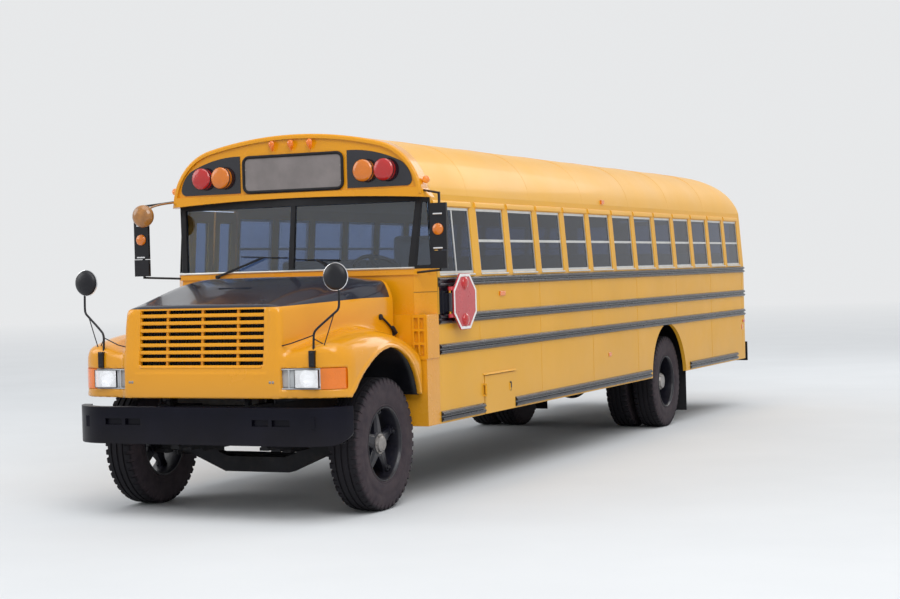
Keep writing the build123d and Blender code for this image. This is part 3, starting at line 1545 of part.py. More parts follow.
with BuildPart() as wipers:
    for pivot_x, blade_outer, blade_inner in wiper_table:
        pivot_y = glass_y + glass_sweep * abs(pivot_x) - pane_depth
        with BuildSketch(cross_plane(pivot_y + 4)):
            with Locations((pivot_x, pivot_z)):
                Circle(16)
        extrude(amount=4 + pivot_reach)
        tip = on_glass((blade_outer[0] + blade_inner[0]) / 2, (blade_outer[1] + blade_inner[1]) / 2, 7)
        foot = Vector(pivot_x, pivot_y - pivot_reach + 6, pivot_z)
        arm = tip - foot
        with BuildSketch(Plane(origin=foot, x_dir=(0, 1, 0), z_dir=arm)):
            Rectangle(8, 18)
        extrude(amount=arm.length)
        start = on_glass(*blade_outer, -2)
        blade = on_glass(*blade_inner, -2) - start
        with BuildSketch(Plane(origin=start, x_dir=(0, 1, 0), z_dir=blade)):
            Rectangle(23, 10)
        extrude(amount=blade.length)
    add(cowl.part, mode=Mode.SUBTRACT)
save(wipers.part, "wipers")
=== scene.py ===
import math

import bmesh
import bpy
import numpy as np
from mathutils import Matrix, Vector
from mathutils.bvhtree import BVHTree


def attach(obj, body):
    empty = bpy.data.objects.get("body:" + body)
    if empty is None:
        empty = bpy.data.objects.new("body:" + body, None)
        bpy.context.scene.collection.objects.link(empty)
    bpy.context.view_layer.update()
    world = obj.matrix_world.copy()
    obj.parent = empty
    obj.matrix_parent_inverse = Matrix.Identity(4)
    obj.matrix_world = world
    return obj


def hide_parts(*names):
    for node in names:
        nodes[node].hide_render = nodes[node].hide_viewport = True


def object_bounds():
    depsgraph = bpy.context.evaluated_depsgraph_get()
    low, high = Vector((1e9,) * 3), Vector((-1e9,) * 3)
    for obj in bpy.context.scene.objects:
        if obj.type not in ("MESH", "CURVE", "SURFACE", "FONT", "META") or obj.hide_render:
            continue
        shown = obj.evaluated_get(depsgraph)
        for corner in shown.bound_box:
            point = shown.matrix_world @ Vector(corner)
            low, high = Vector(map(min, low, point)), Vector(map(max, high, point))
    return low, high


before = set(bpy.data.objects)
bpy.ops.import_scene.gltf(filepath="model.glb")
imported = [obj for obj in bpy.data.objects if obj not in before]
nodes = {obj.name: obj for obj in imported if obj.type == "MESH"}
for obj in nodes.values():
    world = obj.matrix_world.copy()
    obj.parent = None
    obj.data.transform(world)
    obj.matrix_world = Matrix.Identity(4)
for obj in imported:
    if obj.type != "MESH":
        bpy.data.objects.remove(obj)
cad_box = [list(v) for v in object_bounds()]

# Places repeated from the part's source, in metres.
FRONT = -4.680
REAR = 2.330
AXLE = 0.509
HALF = 1.219
SILL = 1.789
LEAN = math.radians(4.3)
REAR_FACE = 5.466
FIRST_WINDOW = -2.9915
WINDOW_PITCH = 0.6985
WINDOW_WIDTH = 0.585


# Materials
def principled(name):
    mat = bpy.data.materials.new(name)
    mat.use_nodes = True
    tree = mat.node_tree
    return mat, tree, tree.nodes["Principled BSDF"]


def add_node(tree, kind, **values):
    node = tree.nodes.new(kind)
    for key, value in values.items():
        if key in node.inputs:
            node.inputs[key].default_value = value
        else:
            setattr(node, key, value)
    return node


def noise(tree, coords, scale, detail=4.0, rough=0.55):
    node = add_node(tree, "ShaderNodeTexNoise", Scale=scale, Detail=detail, Roughness=rough)
    tree.links.new(coords, node.inputs["Vector"])
    return node.outputs["Fac"]


def spread(tree, value, low, high, out_low, out_high):
    node = tree.nodes.new("ShaderNodeMapRange")
    tree.links.new(value, node.inputs["Value"])
    for key, number in (("From Min", low), ("From Max", high), ("To Min", out_low), ("To Max", out_high)):
        node.inputs[key].default_value = number
    return node.outputs["Result"]


def mix(tree, factor, first, second):
    """Mixes two colours, each a tuple or a socket, by a factor socket."""
    node = add_node(tree, "ShaderNodeMix", data_type="RGBA")
    tree.links.new(factor, node.inputs["Factor"])
    for socket, colour in ((node.inputs[6], first), (node.inputs[7], second)):
        if isinstance(colour, tuple):
            socket.default_value = (*colour[:3], 1)
        else:
            tree.links.new(colour, socket)
    return node.outputs[2]


def maths(tree, operation, first, second):
    node = add_node(tree, "ShaderNodeMath", operation=operation)
    tree.links.new(first, node.inputs[0])
    tree.links.new(second, node.inputs[1])
    return node.outputs[0]


def length_of(tree, vector):
    node = add_node(tree, "ShaderNodeVectorMath", operation="LENGTH")
    tree.links.new(vector, node.inputs[0])
    return node.outputs["Value"]


def object_coords(tree):
    return tree.nodes.new("ShaderNodeTexCoord").outputs["Object"]


def axis_value(tree, coords, axis):
    node = tree.nodes.new("ShaderNodeSeparateXYZ")
    tree.links.new(coords, node.inputs[0])
    return node.outputs[axis]


def bumped(tree, shader, height, strength, distance, normal=None):
    """Bumps a shader's surface by a height socket, over a normal socket if one is given."""
    bump = add_node(tree, "ShaderNodeBump", Strength=strength, Distance=distance)
    tree.links.new(height, bump.inputs["Height"])
    if normal:
        tree.links.new(normal, bump.inputs["Normal"])
    tree.links.new(bump.outputs["Normal"], shader.inputs["Normal"])


def cells(tree, coords, scale):
    node = add_node(tree, "ShaderNodeTexVoronoi", Scale=scale)
    tree.links.new(coords, node.inputs["Vector"])
    return node.outputs["Distance"]


def coated(shader, weight, rough, specular):
    shader.inputs["Coat Weight"].default_value = weight
    shader.inputs["Coat Roughness"].default_value = rough
    shader.inputs["Specular IOR Level"].default_value = specular


def finish(name, colour, rough, metal=0.0, coat=0.0, mottle=0.08, scale=2.5, grain=0.0, grain_scale=300.0,
           soften=0.0, grime=None, second=None, second_share=0.5, specular=0.5, vary=0.06):
    """A painted, moulded or metal surface: uneven colour, uneven gloss, a fine grain and softened edges."""
    mat, tree, shader = principled(name)
    coords = object_coords(tree)
    patch = spread(tree, noise(tree, coords, scale), 0.35, 0.65, 0.0, 1.0)
    dark = tuple(c * (1 - mottle) for c in colour)
    light = tuple(min(1.0, c * (1 + mottle)) for c in colour)
    out = mix(tree, patch, dark, light)
    if second:
        spots = spread(tree, noise(tree, coords, scale * 4, 8.0, 0.7), 0.5, 0.8, 0.0, second_share)
        out = mix(tree, spots, out, second)
    if grime:
        low, high, dirt, share = grime
        band = spread(tree, axis_value(tree, coords, "Z"), low, high, share, 0.0)
        cloud = spread(tree, noise(tree, coords, 1.7, 6.0, 0.65), 0.3, 0.7, 0.35, 1.0)
        out = mix(tree, maths(tree, "MULTIPLY", band, cloud), out, dirt)
    tree.links.new(out, shader.inputs["Base Color"])
    gloss = noise(tree, coords, scale * 2.3, 5.0)
    gloss = spread(tree, gloss, 0.3, 0.7, max(0.02, rough - vary), rough + vary)
    tree.links.new(gloss, shader.inputs["Roughness"])
    shader.inputs["Metallic"].default_value = metal
    coated(shader, coat, 0.06, specular)
    normal = None
    if soften:
        bevel = add_node(tree, "ShaderNodeBevel", Radius=soften)
        bevel.samples = 3
        normal = bevel.outputs["Normal"]
        tree.links.new(normal, shader.inputs["Normal"])
    if grain:
        bumped(tree, shader, noise(tree, coords, grain_scale, 3.0), 0.35, grain, normal)
    return mat


def glazing(name, tint, rough=0.02, ior=1.3, specular=0.4):
    """Tinted glass with a faint uneven film on it."""
    mat, tree, shader = principled(name)
    coords = object_coords(tree)
    film = spread(tree, noise(tree, coords, 3.0, 6.0), 0.3, 0.75, rough, rough + 0.03)
    tree.links.new(film, shader.inputs["Roughness"])
    patch = spread(tree, noise(tree, coords, 1.1), 0.3, 0.7, 0.0, 1.0)
    tree.links.new(mix(tree, patch, tint, tuple(c * 0.9 for c in tint)), shader.inputs["Base Color"])
    shader.inputs["Transmission Weight"].default_value = 1.0
    shader.inputs["IOR"].default_value = ior
    shader.inputs["Specular IOR Level"].default_value = specular
    return mat


def lens(name, colour, glow, clear=0.35):
    """A moulded lamp lens with fine prisms and a little light behind it."""
    mat, tree, shader = principled(name)
    coords = object_coords(tree)
    bumped(tree, shader, cells(tree, coords, 70.0), 0.5, 0.002)
    patch = spread(tree, noise(tree, coords, 9.0), 0.3, 0.7, 0.0, 1.0)
    tree.links.new(mix(tree, patch, tuple(c * 0.82 for c in colour), colour), shader.inputs["Base Color"])
    shader.inputs["Roughness"].default_value = 0.12
    shader.inputs["Transmission Weight"].default_value = clear
    shader.inputs["Coat Weight"].default_value = 0.6
    shader.inputs["Emission Color"].default_value = (*colour, 1)
    shader.inputs["Emission Strength"].default_value = glow
    return mat


# Two copies of the one bus yellow, each coloured as the light falls where it is used: painted light and
# shade. The front's copy below is deeper and more orange, the sides' copy paler.
FRONT_LIT_YELLOW = (0.74, 0.305, 0.004)
SIDE_LIT_YELLOW = (0.76, 0.375, 0.020)
m = {}
for name, colour, rough, more in (
    ("yellow_lit_front", FRONT_LIT_YELLOW, 0.26, dict(coat=0.35, specular=0.3, mottle=0.03, scale=1.2, soften=0.006,
                                     grime=(0.75, 1.25, (0.62, 0.33, 0.06), 0.35))),
    ("yellow_lit_side", SIDE_LIT_YELLOW, 0.38, dict(coat=0.08, specular=0.22, mottle=0.04, scale=0.9, soften=0.003,
                                     grime=(0.55, 1.15, (0.60, 0.34, 0.08), 0.45))),
    # The roof's copy of the yellow is lighter than the sides': a painted highlight on the upward faces,
    # which the window headers take too.
    ("yellow_lit_top", (0.82, 0.42, 0.045), 0.42, dict(coat=0.12, specular=0.35, mottle=0.03, scale=0.8)),
    ("black_gloss", (0.006, 0.006, 0.012), 0.22, dict(coat=0.4, mottle=0.2, soften=0.003,
                                                      second=(0.03, 0.03, 0.04), second_share=0.2)),
    ("bumper_black", (0.003, 0.003, 0.008), 0.36, dict(specular=0.14, mottle=0.25, scale=3.0, soften=0.006,
                                                       grime=(0.50, 0.80, (0.030, 0.026, 0.024), 0.4))),
    ("chassis_black", (0.010, 0.010, 0.013), 0.6, dict(specular=0.25, mottle=0.3, scale=4.0, grain=0.0006,
                                                       grain_scale=140.0, second=(0.040, 0.030, 0.022),
                                                       soften=0.004)),
    ("wheel_black", (0.008, 0.008, 0.014), 0.36, dict(coat=0.15, specular=0.35, mottle=0.3, scale=9.0,
                                                      grain=0.0005, grain_scale=160.0,
                                                      second=(0.05, 0.038, 0.036), second_share=0.45)),
    ("aluminium", (0.62, 0.62, 0.60), 0.36, dict(metal=0.85, mottle=0.06, scale=6.0, grain=0.0001,
                                                 grain_scale=400.0)),
    ("steel", (0.34, 0.32, 0.30), 0.5, dict(metal=0.7, mottle=0.15, scale=7.0, grain=0.0004,
                                            second=(0.17, 0.09, 0.05))),
    ("chrome", (0.75, 0.75, 0.76), 0.14, dict(metal=1.0, mottle=0.03, scale=12.0)),
    ("iron", (0.07, 0.065, 0.06), 0.6, dict(metal=0.3, mottle=0.25, scale=8.0, grain=0.001,
                                            second=(0.15, 0.09, 0.05))),
    ("rubber", (0.010, 0.010, 0.012), 0.7, dict(specular=0.3, mottle=0.2, scale=10.0, grain=0.0006,
                                                grain_scale=180.0)),
    ("dark_plastic", (0.006, 0.006, 0.009), 0.38, dict(specular=0.35, mottle=0.2, scale=8.0, grain=0.0004,
                                                       grain_scale=420.0, soften=0.003)),
    ("grey_plastic", (0.46, 0.47, 0.48), 0.34, dict(mottle=0.06, scale=9.0, soften=0.002)),
    ("floor_rubber", (0.05, 0.05, 0.05), 0.7, dict(mottle=0.2, scale=5.0, grain=0.0012, grain_scale=60.0)),
    ("red_paint", (0.50, 0.02, 0.03), 0.3, dict(coat=0.4, scale=5.0, soften=0.001)),
    ("white_paint", (0.80, 0.79, 0.77), 0.35, dict(coat=0.3, mottle=0.05, scale=7.0)),
    ("panel_grey", (0.190, 0.165, 0.160), 0.4, dict(coat=0.3, mottle=0.12, scale=5.0)),
    ("screen", (0.008, 0.006, 0.006), 0.6, dict(mottle=0.4, scale=30.0, grain=0.002, grain_scale=160.0)),
    ("amber_brown", (0.36, 0.15, 0.03), 0.2, dict(coat=0.6, mottle=0.2, scale=14.0)),
    ("hub_metal", (0.30, 0.28, 0.27), 0.42, dict(metal=0.6, mottle=0.25, scale=14.0, grain=0.0005,
                                                 second=(0.10, 0.08, 0.07), second_share=0.6)),
    # The ribs' black is a little lighter than the rails' own: a painted highlight along the ribs.
    ("rail_rib_sheen", (0.010, 0.010, 0.016), 0.30, dict(coat=0.15, specular=0.3, mottle=0.15, scale=6.0)),
    ("mirror_silver", (0.80, 0.82, 0.84), 0.03, dict(metal=1.0, mottle=0.01, scale=2.0, vary=0.01)),
    ("lamp_silver", (0.82, 0.83, 0.84), 0.16, dict(metal=0.9, mottle=0.03, scale=12.0)),
):
    m[name] = finish(name, colour, rough, **more)
m["side_glass"] = glazing("side_glass", (0.10, 0.14, 0.24))
m["front_glass"] = glazing("front_glass", (0.66, 0.78, 0.96), ior=1.6, specular=0.6)
m["clear_lens"] = lens("clear_lens", (0.86, 0.88, 0.90), 0.10, clear=0.7)
m["head_lens"] = lens("head_lens", (0.92, 0.93, 0.95), 0.22, clear=0.8)
m["amber_lens"] = lens("amber_lens", (0.86, 0.22, 0.004), 0.14)
m["red_lens"] = lens("red_lens", (0.58, 0.010, 0.010), 0.16)


def grained_vinyl(name, colour):
    """Seat vinyl with a leather grain and fine creases."""
    mat, tree, shader = principled(name)
    coords = object_coords(tree)
    patch = spread(tree, noise(tree, coords, 5.0), 0.3, 0.7, 0.0, 1.0)
    tree.links.new(mix(tree, patch, tuple(c * 0.85 for c in colour), colour), shader.inputs["Base Color"])
    bumped(tree, shader, cells(tree, coords, 260.0), 0.3, 0.001)
    gloss = spread(tree, noise(tree, coords, 11.0), 0.3, 0.7, 0.34, 0.5)
    tree.links.new(gloss, shader.inputs["Roughness"])
    shader.inputs["Sheen Weight"].default_value = 0.1
    return mat


def hood_paint(name):
    """Yellow below and black on top, split along the hood's upper side line."""
    mat, tree, shader = principled(name)
    coords = object_coords(tree)
    height = axis_value(tree, coords, "Z")
    place = axis_value(tree, coords, "Y")
    line = spread(tree, place, FRONT - 0.797, FRONT + 0.122, 1.5875, 1.6235)
    black = spread(tree, maths(tree, "SUBTRACT", height, line), -0.001, 0.001, 0.0, 1.0)
    ahead = spread(tree, place, FRONT + 0.486, FRONT + 0.488, 1.0, 0.0)
    black = maths(tree, "MULTIPLY", black, ahead)
    patch = spread(tree, noise(tree, coords, 1.2), 0.35, 0.65, 0.0, 1.0)
    # The front's copy of the yellow, coloured as the light falls on the front: painted light and shade.
    yellow = mix(tree, patch, tuple(c * 0.96 for c in FRONT_LIT_YELLOW), FRONT_LIT_YELLOW)
    band = spread(tree, height, 0.87, 1.15, 0.3, 0.0)
    yellow = mix(tree, band, yellow, (0.60, 0.32, 0.06))
    tree.links.new(mix(tree, black, yellow, (0.014, 0.016, 0.028)), shader.inputs["Base Color"])
    gloss = spread(tree, noise(tree, coords, 3.0, 5.0), 0.3, 0.7, 0.17, 0.28)
    tree.links.new(gloss, shader.inputs["Roughness"])
    coated(shader, 0.4, 0.05, 0.35)
    return mat


def tyre_rubber(name):
    """Dark tread and a dusty brown sidewall, by distance from the axle."""
    mat, tree, shader = principled(name)
    coords = object_coords(tree)
    flat = add_node(tree, "ShaderNodeVectorMath", operation="MULTIPLY")
    flat.inputs[1].default_value = (0, 1, 1)
    tree.links.new(coords, flat.inputs[0])
    tread = spread(tree, length_of(tree, flat.outputs[0]), 0.478, 0.500, 0.0, 1.0)
    cloud = spread(tree, noise(tree, coords, 8.0, 7.0, 0.65), 0.3, 0.7, 0.0, 1.0)
    wall = mix(tree, cloud, (0.030, 0.023, 0.030), (0.060, 0.045, 0.050))
    tree.links.new(mix(tree, tread, wall, (0.010, 0.009, 0.012)), shader.inputs["Base Color"])
    bumped(tree, shader, noise(tree, coords, 120.0, 4.0), 0.4, 0.0015)
    shader.inputs["Roughness"].default_value = 0.82
    shader.inputs["Specular IOR Level"].default_value = 0.25
    return mat


m["vinyl"] = grained_vinyl("vinyl", (0.045, 0.065, 0.10))
m["hood_paint"] = hood_paint("hood_paint")
m["tyre"] = tyre_rubber("tyre")

# The CAD nodes by finish, with those that a scene piece stands for.
node_finish = {
    "chassis_black": "battery_box crossmembers driveline floor_wells frame_rails front_axle knuckle_left "
                     "knuckle_right leaf_springs rear_axle tie_rod",
    "yellow_lit_side": "battery_door emergency_door entrance_leaf_front entrance_leaf_rear rear_wall side_left "
                   "side_right",
    "yellow_lit_front": "cowl front_cap",
    "yellow_lit_top": "roof",
    "hood_paint": "hood",
    "black_gloss": "lamp_panels rub_rails",
    "bumper_black": "front_bumper rear_bumper",
    "wheel_black": "front_wheel_left front_wheel_right rear_wheels_left rear_wheels_right",
    "tyre": "front_tyre_left front_tyre_right rear_tyres_left rear_tyres_right",
    "side_glass": "cabin_glass emergency_glass entrance_glass_front entrance_glass_rear",
    "front_glass": "windshield",
    "dark_plastic": "dashboard fender_mirrors body_mirrors wipers",
    "grey_plastic": "lamp_bezels",
    "rubber": "mud_flaps windshield_frame",
    "floor_rubber": "floor",
    "iron": "engine radiator",
    "steel": "exhaust fuel_tank",
    "aluminium": "window_sashes",
    "panel_grey": "sign_panels",
    "red_paint": "stop_arm",
    "clear_lens": "headlamps",
    "amber_lens": "turn_lamps amber_lamps",
    "red_lens": "red_lamps",
    "vinyl": "seats seat_backs",
}
for name, dressed in node_finish.items():
    for node_name in dressed.split():
        node = nodes[node_name]
        if not node.material_slots:
            node.data.materials.append(m[name])
        for place in node.material_slots:
            place.material = m[name]


# Mesh helpers
def make(name, body, material, bm=None, verts=None, faces=None, angle=35, bevel=0, segments=2,
         at=None, stands_for=None):
    """A piece from a bmesh or from verts and faces, which rides on a body and may stand for a node."""
    mesh = bpy.data.meshes.new(name)
    if bm is None:
        mesh.from_pydata(verts, [], faces)
    else:
        bmesh.ops.recalc_face_normals(bm, faces=bm.faces)
        bm.to_mesh(mesh)
        bm.free()
    mesh.validate()
    mesh.shade_smooth()
    if not bevel:
        mesh.set_sharp_from_angle(angle=math.radians(angle))
    obj = bpy.data.objects.new(name, mesh)
    bpy.context.scene.collection.objects.link(obj)
    mesh.materials.append(m[material])
    if at:
        obj.location = at
    if bevel:
        mod = obj.modifiers.new("edges", "BEVEL")
        mod.width = bevel
        mod.segments = segments
        mod.limit_method = "ANGLE"
        mod.angle_limit = math.radians(angle)
        mod.harden_normals = True
    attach(obj, body)
    if stands_for:
        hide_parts(stands_for)
    return obj


def box(bm, low, high, turn=None):
    """A box from corner to corner, turned by a matrix about its own middle if one is given."""
    low, high = Vector(low), Vector(high)
    place = Matrix.Translation((low + high) / 2) @ (turn.to_4x4() if turn else Matrix.Identity(4))
    scale = Matrix.Diagonal((*[abs(s) for s in high - low], 1))
    bmesh.ops.create_cube(bm, size=1, matrix=place @ scale)


def around(centre, radius, count, start=0.0):
    """Points (u, v) evenly round a circle."""
    turns = [start + 2 * math.pi * step / count for step in range(count)]
    return [(centre[0] + radius * math.cos(turn), centre[1] + radius * math.sin(turn)) for turn in turns]


def bridge(bm, rings, loop=False):
    """Faces between rings of verts, with flat ends, or joined last to first in a loop."""
    if not loop:
        bm.faces.new(rings[0][::-1])
        bm.faces.new(rings[-1])
    for first, second in zip(rings, rings[1:] + rings[:1] if loop else rings[1:]):
        for corners in zip(first, first[1:] + first[:1], second[1:] + second[:1], second):
            bm.faces.new(corners)


def bar(bm, outline, axis, low, high):
    """A bar with an outline of (x, z) points along Y, or of (x, y) points along Z."""
    ends = []
    for place in (low, high):
        ends.append([bm.verts.new((u, place, v) if axis == "Y" else (u, v, place)) for u, v in outline])
    bridge(bm, ends)


def rod(bm, points, radius, sides=10):
    """A tube through points, with flat ends."""
    points = [Vector(p) for p in points]
    rings = []
    side = None
    for index, point in enumerate(points):
        before = points[max(index - 1, 0)]
        after = points[min(index + 1, len(points) - 1)]
        way = (after - before).normalized()
        if side is None:
            side = way.orthogonal().normalized()
        side = (side - way * side.dot(way)).normalized()
        up = way.cross(side)
        rings.append([bm.verts.new(point + side * u + up * v) for u, v in around((0, 0), radius, sides)])
    bridge(bm, rings)


def closed_tube(bm, points, radius, sides=8):
    """A closed tube, level along Y, through points whose last repeats the first."""
    points = [Vector(p) for p in points[:-1]]
    up = Vector((0, 1, 0))
    rings = []
    for index, point in enumerate(points):
        way = points[(index + 1) % len(points)] - points[index - 1]
        side = way.normalized().cross(up).normalized()
        rings.append([bm.verts.new(point + side * u + up * v) for u, v in around((0, 0), radius, sides)])
    bridge(bm, rings, loop=True)


def smooth_line(points, steps=6):
    """Points on a Catmull-Rom curve through the given ones."""
    points = [Vector(p) for p in points]
    padded = [points[0] * 2 - points[1], *points, points[-1] * 2 - points[-2]]
    line = []
    for a, b, c, d in zip(padded, padded[1:], padded[2:], padded[3:]):
        for step in range(steps):
            t = step / steps
            bend = (2 * a - 5 * b + 4 * c - d) * t**2 + (3 * b - a - 3 * c + d) * t**3
            line.append(0.5 * (2 * b + (c - a) * t + bend))
    return [*line, points[-1]]


def disc(bm, centre, way, profile, steps=32):
    """A turned form about a way through centre, from (distance along, radius) pairs."""
    way = Vector(way).normalized()
    side = way.orthogonal().normalized()
    up = way.cross(side)
    rings = []
    for along, radius in profile:
        base = Vector(centre) + way * along
        if radius < 1e-6:
            rings.append([bm.verts.new(base)])
        else:
            rings.append([bm.verts.new(base + side * u + up * v) for u, v in around((0, 0), radius, steps)])
    for first, second in zip(rings, rings[1:]):
        for step in range(steps):
            after = (step + 1) % steps
            corners = [first[step % len(first)], first[after % len(first)]]
            corners += [second[after % len(second)], second[step % len(second)]]
            unique = list(dict.fromkeys(corners))
            if len(unique) > 2:
                bm.faces.new(unique)


def dome(bm, centre, way, radius=0.005, height=0.0025, steps=6):
    disc(bm, centre, way, [(0, radius), (height * 0.7, radius * 0.7), (height, 0)], steps)


def wall_x(z):
    return HALF if z <= SILL else HALF - (z - SILL) * math.tan(LEAN)


# The hood: one soft moulded shell, worked out as a distance field in millimetres and meshed as a net.
def outline_distance(px, py, corners):
    """Signed distance to a closed outline, negative inside."""
    best = None
    inside = np.zeros(np.broadcast(px, py).shape, bool)
    for (ax, ay), (bx, by) in zip(corners, corners[1:] + corners[:1]):
        ex, ey = bx - ax, by - ay
        wx, wy = px - ax, py - ay
        share = np.clip((wx * ex + wy * ey) / (ex * ex + ey * ey), 0, 1)
        far = (wx - ex * share) ** 2 + (wy - ey * share) ** 2
        best = far if best is None else np.minimum(best, far)
        if ay != by:
            cross = ((ay > py) != (by > py)) & (px < ex * (py - ay) / (by - ay) + ax)
            inside = inside ^ cross
    return np.where(inside, -1, 1) * np.sqrt(best)


def three_point(a, b, c, steps=10):
    """Points on the arc through three points, without the last."""
    (ax, ay), (bx, by), (cx, cy) = a, b, c
    d = 2 * (ax * (by - cy) + bx * (cy - ay) + cx * (ay - by))
    ux = ((ax**2 + ay**2) * (by - cy) + (bx**2 + by**2) * (cy - ay) + (cx**2 + cy**2) * (ay - by)) / d
    uy = ((ax**2 + ay**2) * (cx - bx) + (bx**2 + by**2) * (ax - cx) + (cx**2 + cy**2) * (bx - ax)) / d
    radius = math.hypot(ax - ux, ay - uy)
    start, middle, end = (math.atan2(y - uy, x - ux) for x, y in (a, b, c))
    turn = (end - start) % (2 * math.pi)
    if (middle - start) % (2 * math.pi) > turn:
        turn -= 2 * math.pi
    turns = [start + turn * step / steps for step in range(steps)]
    return [(ux + radius * math.cos(angle), uy + radius * math.sin(angle)) for angle in turns]


def soft_max(a, b, k):
    h = np.maximum(k - np.abs(a - b), 0) / k
    return np.maximum(a, b) + h * h * k / 4


def soft_min(a, b, k):
    return -soft_max(-a, -b, k)


def curve_through(y, table):
    """A smooth curve through (y, value) pairs."""
    ys, values = zip(*table)
    power = np.polyfit(ys, values, min(len(ys) - 1, 3))
    return np.polyval(power, y)


# The wheel arch's edge seen from the side, as (y, z) from the front axle, front foot first.
ARCH = [(-612, 560), *three_point((-612, 921), (-340, 1154), (0, 1247))]
ARCH += [*three_point((0, 1247), (330, 1128), (492, 850)), (492, 850), (492, 560)]
SKIN = 30


def fender_field(x, y, z):
    """Distance to the broad form of both fenders, before their arches are cut."""
    nose = [(-200, -830), (560, -830), *three_point((980, -762), (1110, -697), (1180, -570))]
    nose += [(1180, -570), (1198, -380), (1198, 900), (-200, 900)]
    plan = outline_distance(x, y, nose)
    crease = curve_through(y, [(-668, 1290), (-437, 1342), (-198, 1388), (180, 1415), (540, 1392)])
    crest = curve_through(y, [(-662, 1336), (-394, 1390), (-150, 1403), (270, 1354), (531, 1271)])
    share = np.clip((x - 750) / 250, 0, 1)
    share = share * share * (3 - 2 * share)
    lid = (z - crease - (crest - crease) * share) * 0.93
    shoulder = [(-200, 1500), (930, 1500), *three_point((930, 1408), (1120, 1345), (1200, 1130))]
    shoulder += [(1200, 1130), (1200, 300), (-200, 300)]
    side = outline_distance(x, z - crest + 1403, shoulder)
    front = [(-842, 300), (-842, 1120), *three_point((-842, 1150), (-800, 1262), (-640, 1400))]
    front += [(-600, 1700), (900, 1700), (900, 300)]
    brow = outline_distance(y, z, front)
    return soft_max(soft_max(lid, side, 50), soft_max(plan, brow, 70), 50)


def centre_field(x, y, z):
    """Distance to the hood's middle: its raked face, sloping top and sides."""
    stations = [
        # y, then four points (x, z) from the middle of the top to the side
        (-792, (0, 1606), (600, 1604), (672, 1580), (688, 1500)),
        (-578, (0, 1662), (600, 1652), (718, 1604), (742, 1520)),
        (-200, (0, 1752), (600, 1741), (795, 1668), (835, 1560)),
        (540, (0, 1788), (600, 1784), (890, 1752), (945, 1640)),
    ]
    spans = []
    for index in range(1, 5):
        spans.append([curve_through(y, [(s[0], s[index][part]) for s in stations]) for part in (0, 1)])
    spans.append((spans[3][0] + 14, spans[3][1] * 0 + 800))
    centre = None
    for (ax, az), (bx, bz) in zip(spans, spans[1:]):
        ex, ez = bx - ax, bz - az
        away = ((x - ax) * -ez + (z - az) * ex) / np.sqrt(ex * ex + ez * ez)
        centre = away if centre is None else soft_max(centre, away, 26)
    face = np.clip((z - 1110) * 38 / 474, 0, 60) - y - 838
    panel = outline_distance(x, z, [(-578, 1106), (578, 1106), (590, 1590), (-590, 1590)])
    step = np.where(panel < 6, face + 6 * np.clip(1 - (panel + 4) / 10, 0, 1), face)
    return soft_max(soft_max(face, step, 2), centre, 44)


def hood_field(x, y, z):
    """Distance to the skin: x from the middle, y from the front axle and z from the road."""
    x = np.abs(x)
    outer = soft_min(centre_field(x, y, z), fender_field(x, y, z), 46)
    shell = soft_max(outer, -(outer + SKIN), 4)
    arch = outline_distance(y, z, ARCH)
    lip = soft_max(soft_max(outer - 7, -(outer + SKIN), 6), soft_max(arch - 34, -x + 1000, 6), 6)
    shell = soft_min(shell, lip, 8)
    shell = soft_max(shell, -arch, 7)
    lamp = np.maximum(np.abs(x - 915) - 229, np.maximum(np.abs(z - 1058) - 77, y + 560))
    shell = soft_max(shell, -lamp, 6)
    grille_hole = np.maximum(np.maximum(x - 543, np.abs(z - 1368) - 206), y + 700)
    shell = soft_max(shell, -grille_hole, 8)
    low = 855 + 60 * np.clip((-470 - y) / 160, 0, 1)
    shell = soft_max(shell, low - z, 8)
    return soft_max(shell, y - 540, 8)


def net(values, origin, pitch):
    """A mesh of quads on the zero level of a grid of values."""
    below = values < 0
    shape = np.array(values.shape) - 1
    total = np.zeros((*shape, 3), np.float32)
    count = np.zeros(shape, np.float32)

    def window(corner):
        return tuple(slice(c, c + s) for c, s in zip(corner, shape))

    for start in [(i, j, k) for i in (0, 1) for j in (0, 1) for k in (0, 1)]:
        for axis in range(3):
            if start[axis]:
                continue
            end = tuple(s + (1 if a == axis else 0) for a, s in enumerate(start))
            v0, v1 = values[window(start)], values[window(end)]
            crosses = below[window(start)] != below[window(end)]
            share = np.where(crosses, v0 / np.where(crosses, v0 - v1, 1), 0)
            for part in range(3):
                step = start[part] + (share if part == axis else 0)
                total[..., part] += np.where(crosses, step, 0)
            count += crosses
    used = count > 0
    number = np.full(tuple(shape), -1, np.int64)
    number[used] = np.arange(used.sum())
    base = np.stack(np.nonzero(used), 1)
    verts = (base + total[used] / count[used][:, None]) * pitch + np.array(origin)
    faces = []
    for axis in range(3):
        b, c = (axis + 1) % 3, (axis + 2) % 3
        low = [slice(1, -1)] * 3
        high = [slice(1, -1)] * 3
        low[axis], high[axis] = slice(0, -1), slice(1, None)
        first, second = below[tuple(low)], below[tuple(high)]
        where = np.stack(np.nonzero(first != second), 1)
        inward = ~first[tuple(where.T)]
        for part in (b, c):
            where[:, part] += 1
        corners = []
        for db, dc in ((-1, -1), (0, -1), (0, 0), (-1, 0)):
            cell = where.copy()
            cell[:, b] += db
            cell[:, c] += dc
            corners.append(number[tuple(cell.T)])
        quads = np.stack(corners, 1)
        quads[inward] = quads[inward][:, ::-1]
        faces.append(quads)
    return verts, np.concatenate(faces)


def settle(verts, rounds=3):
    """Moves points onto the hood's skin along the field's slope."""
    for _ in range(rounds):
        value = hood_field(*verts.T)
        slope = []
        for step in np.eye(3)[:, :, None]:
            slope.append((hood_field(*(verts.T + step)) - hood_field(*(verts.T - step))) / 2)
        slope = np.stack(slope, 1)
        size = np.maximum((slope**2).sum(1), 0.05)
        move = -(value / size)[:, None] * slope
        far = np.maximum(np.linalg.norm(move, axis=1), 1e-9)
        verts = verts + move * np.minimum(1, 5 / far)[:, None]
    return verts


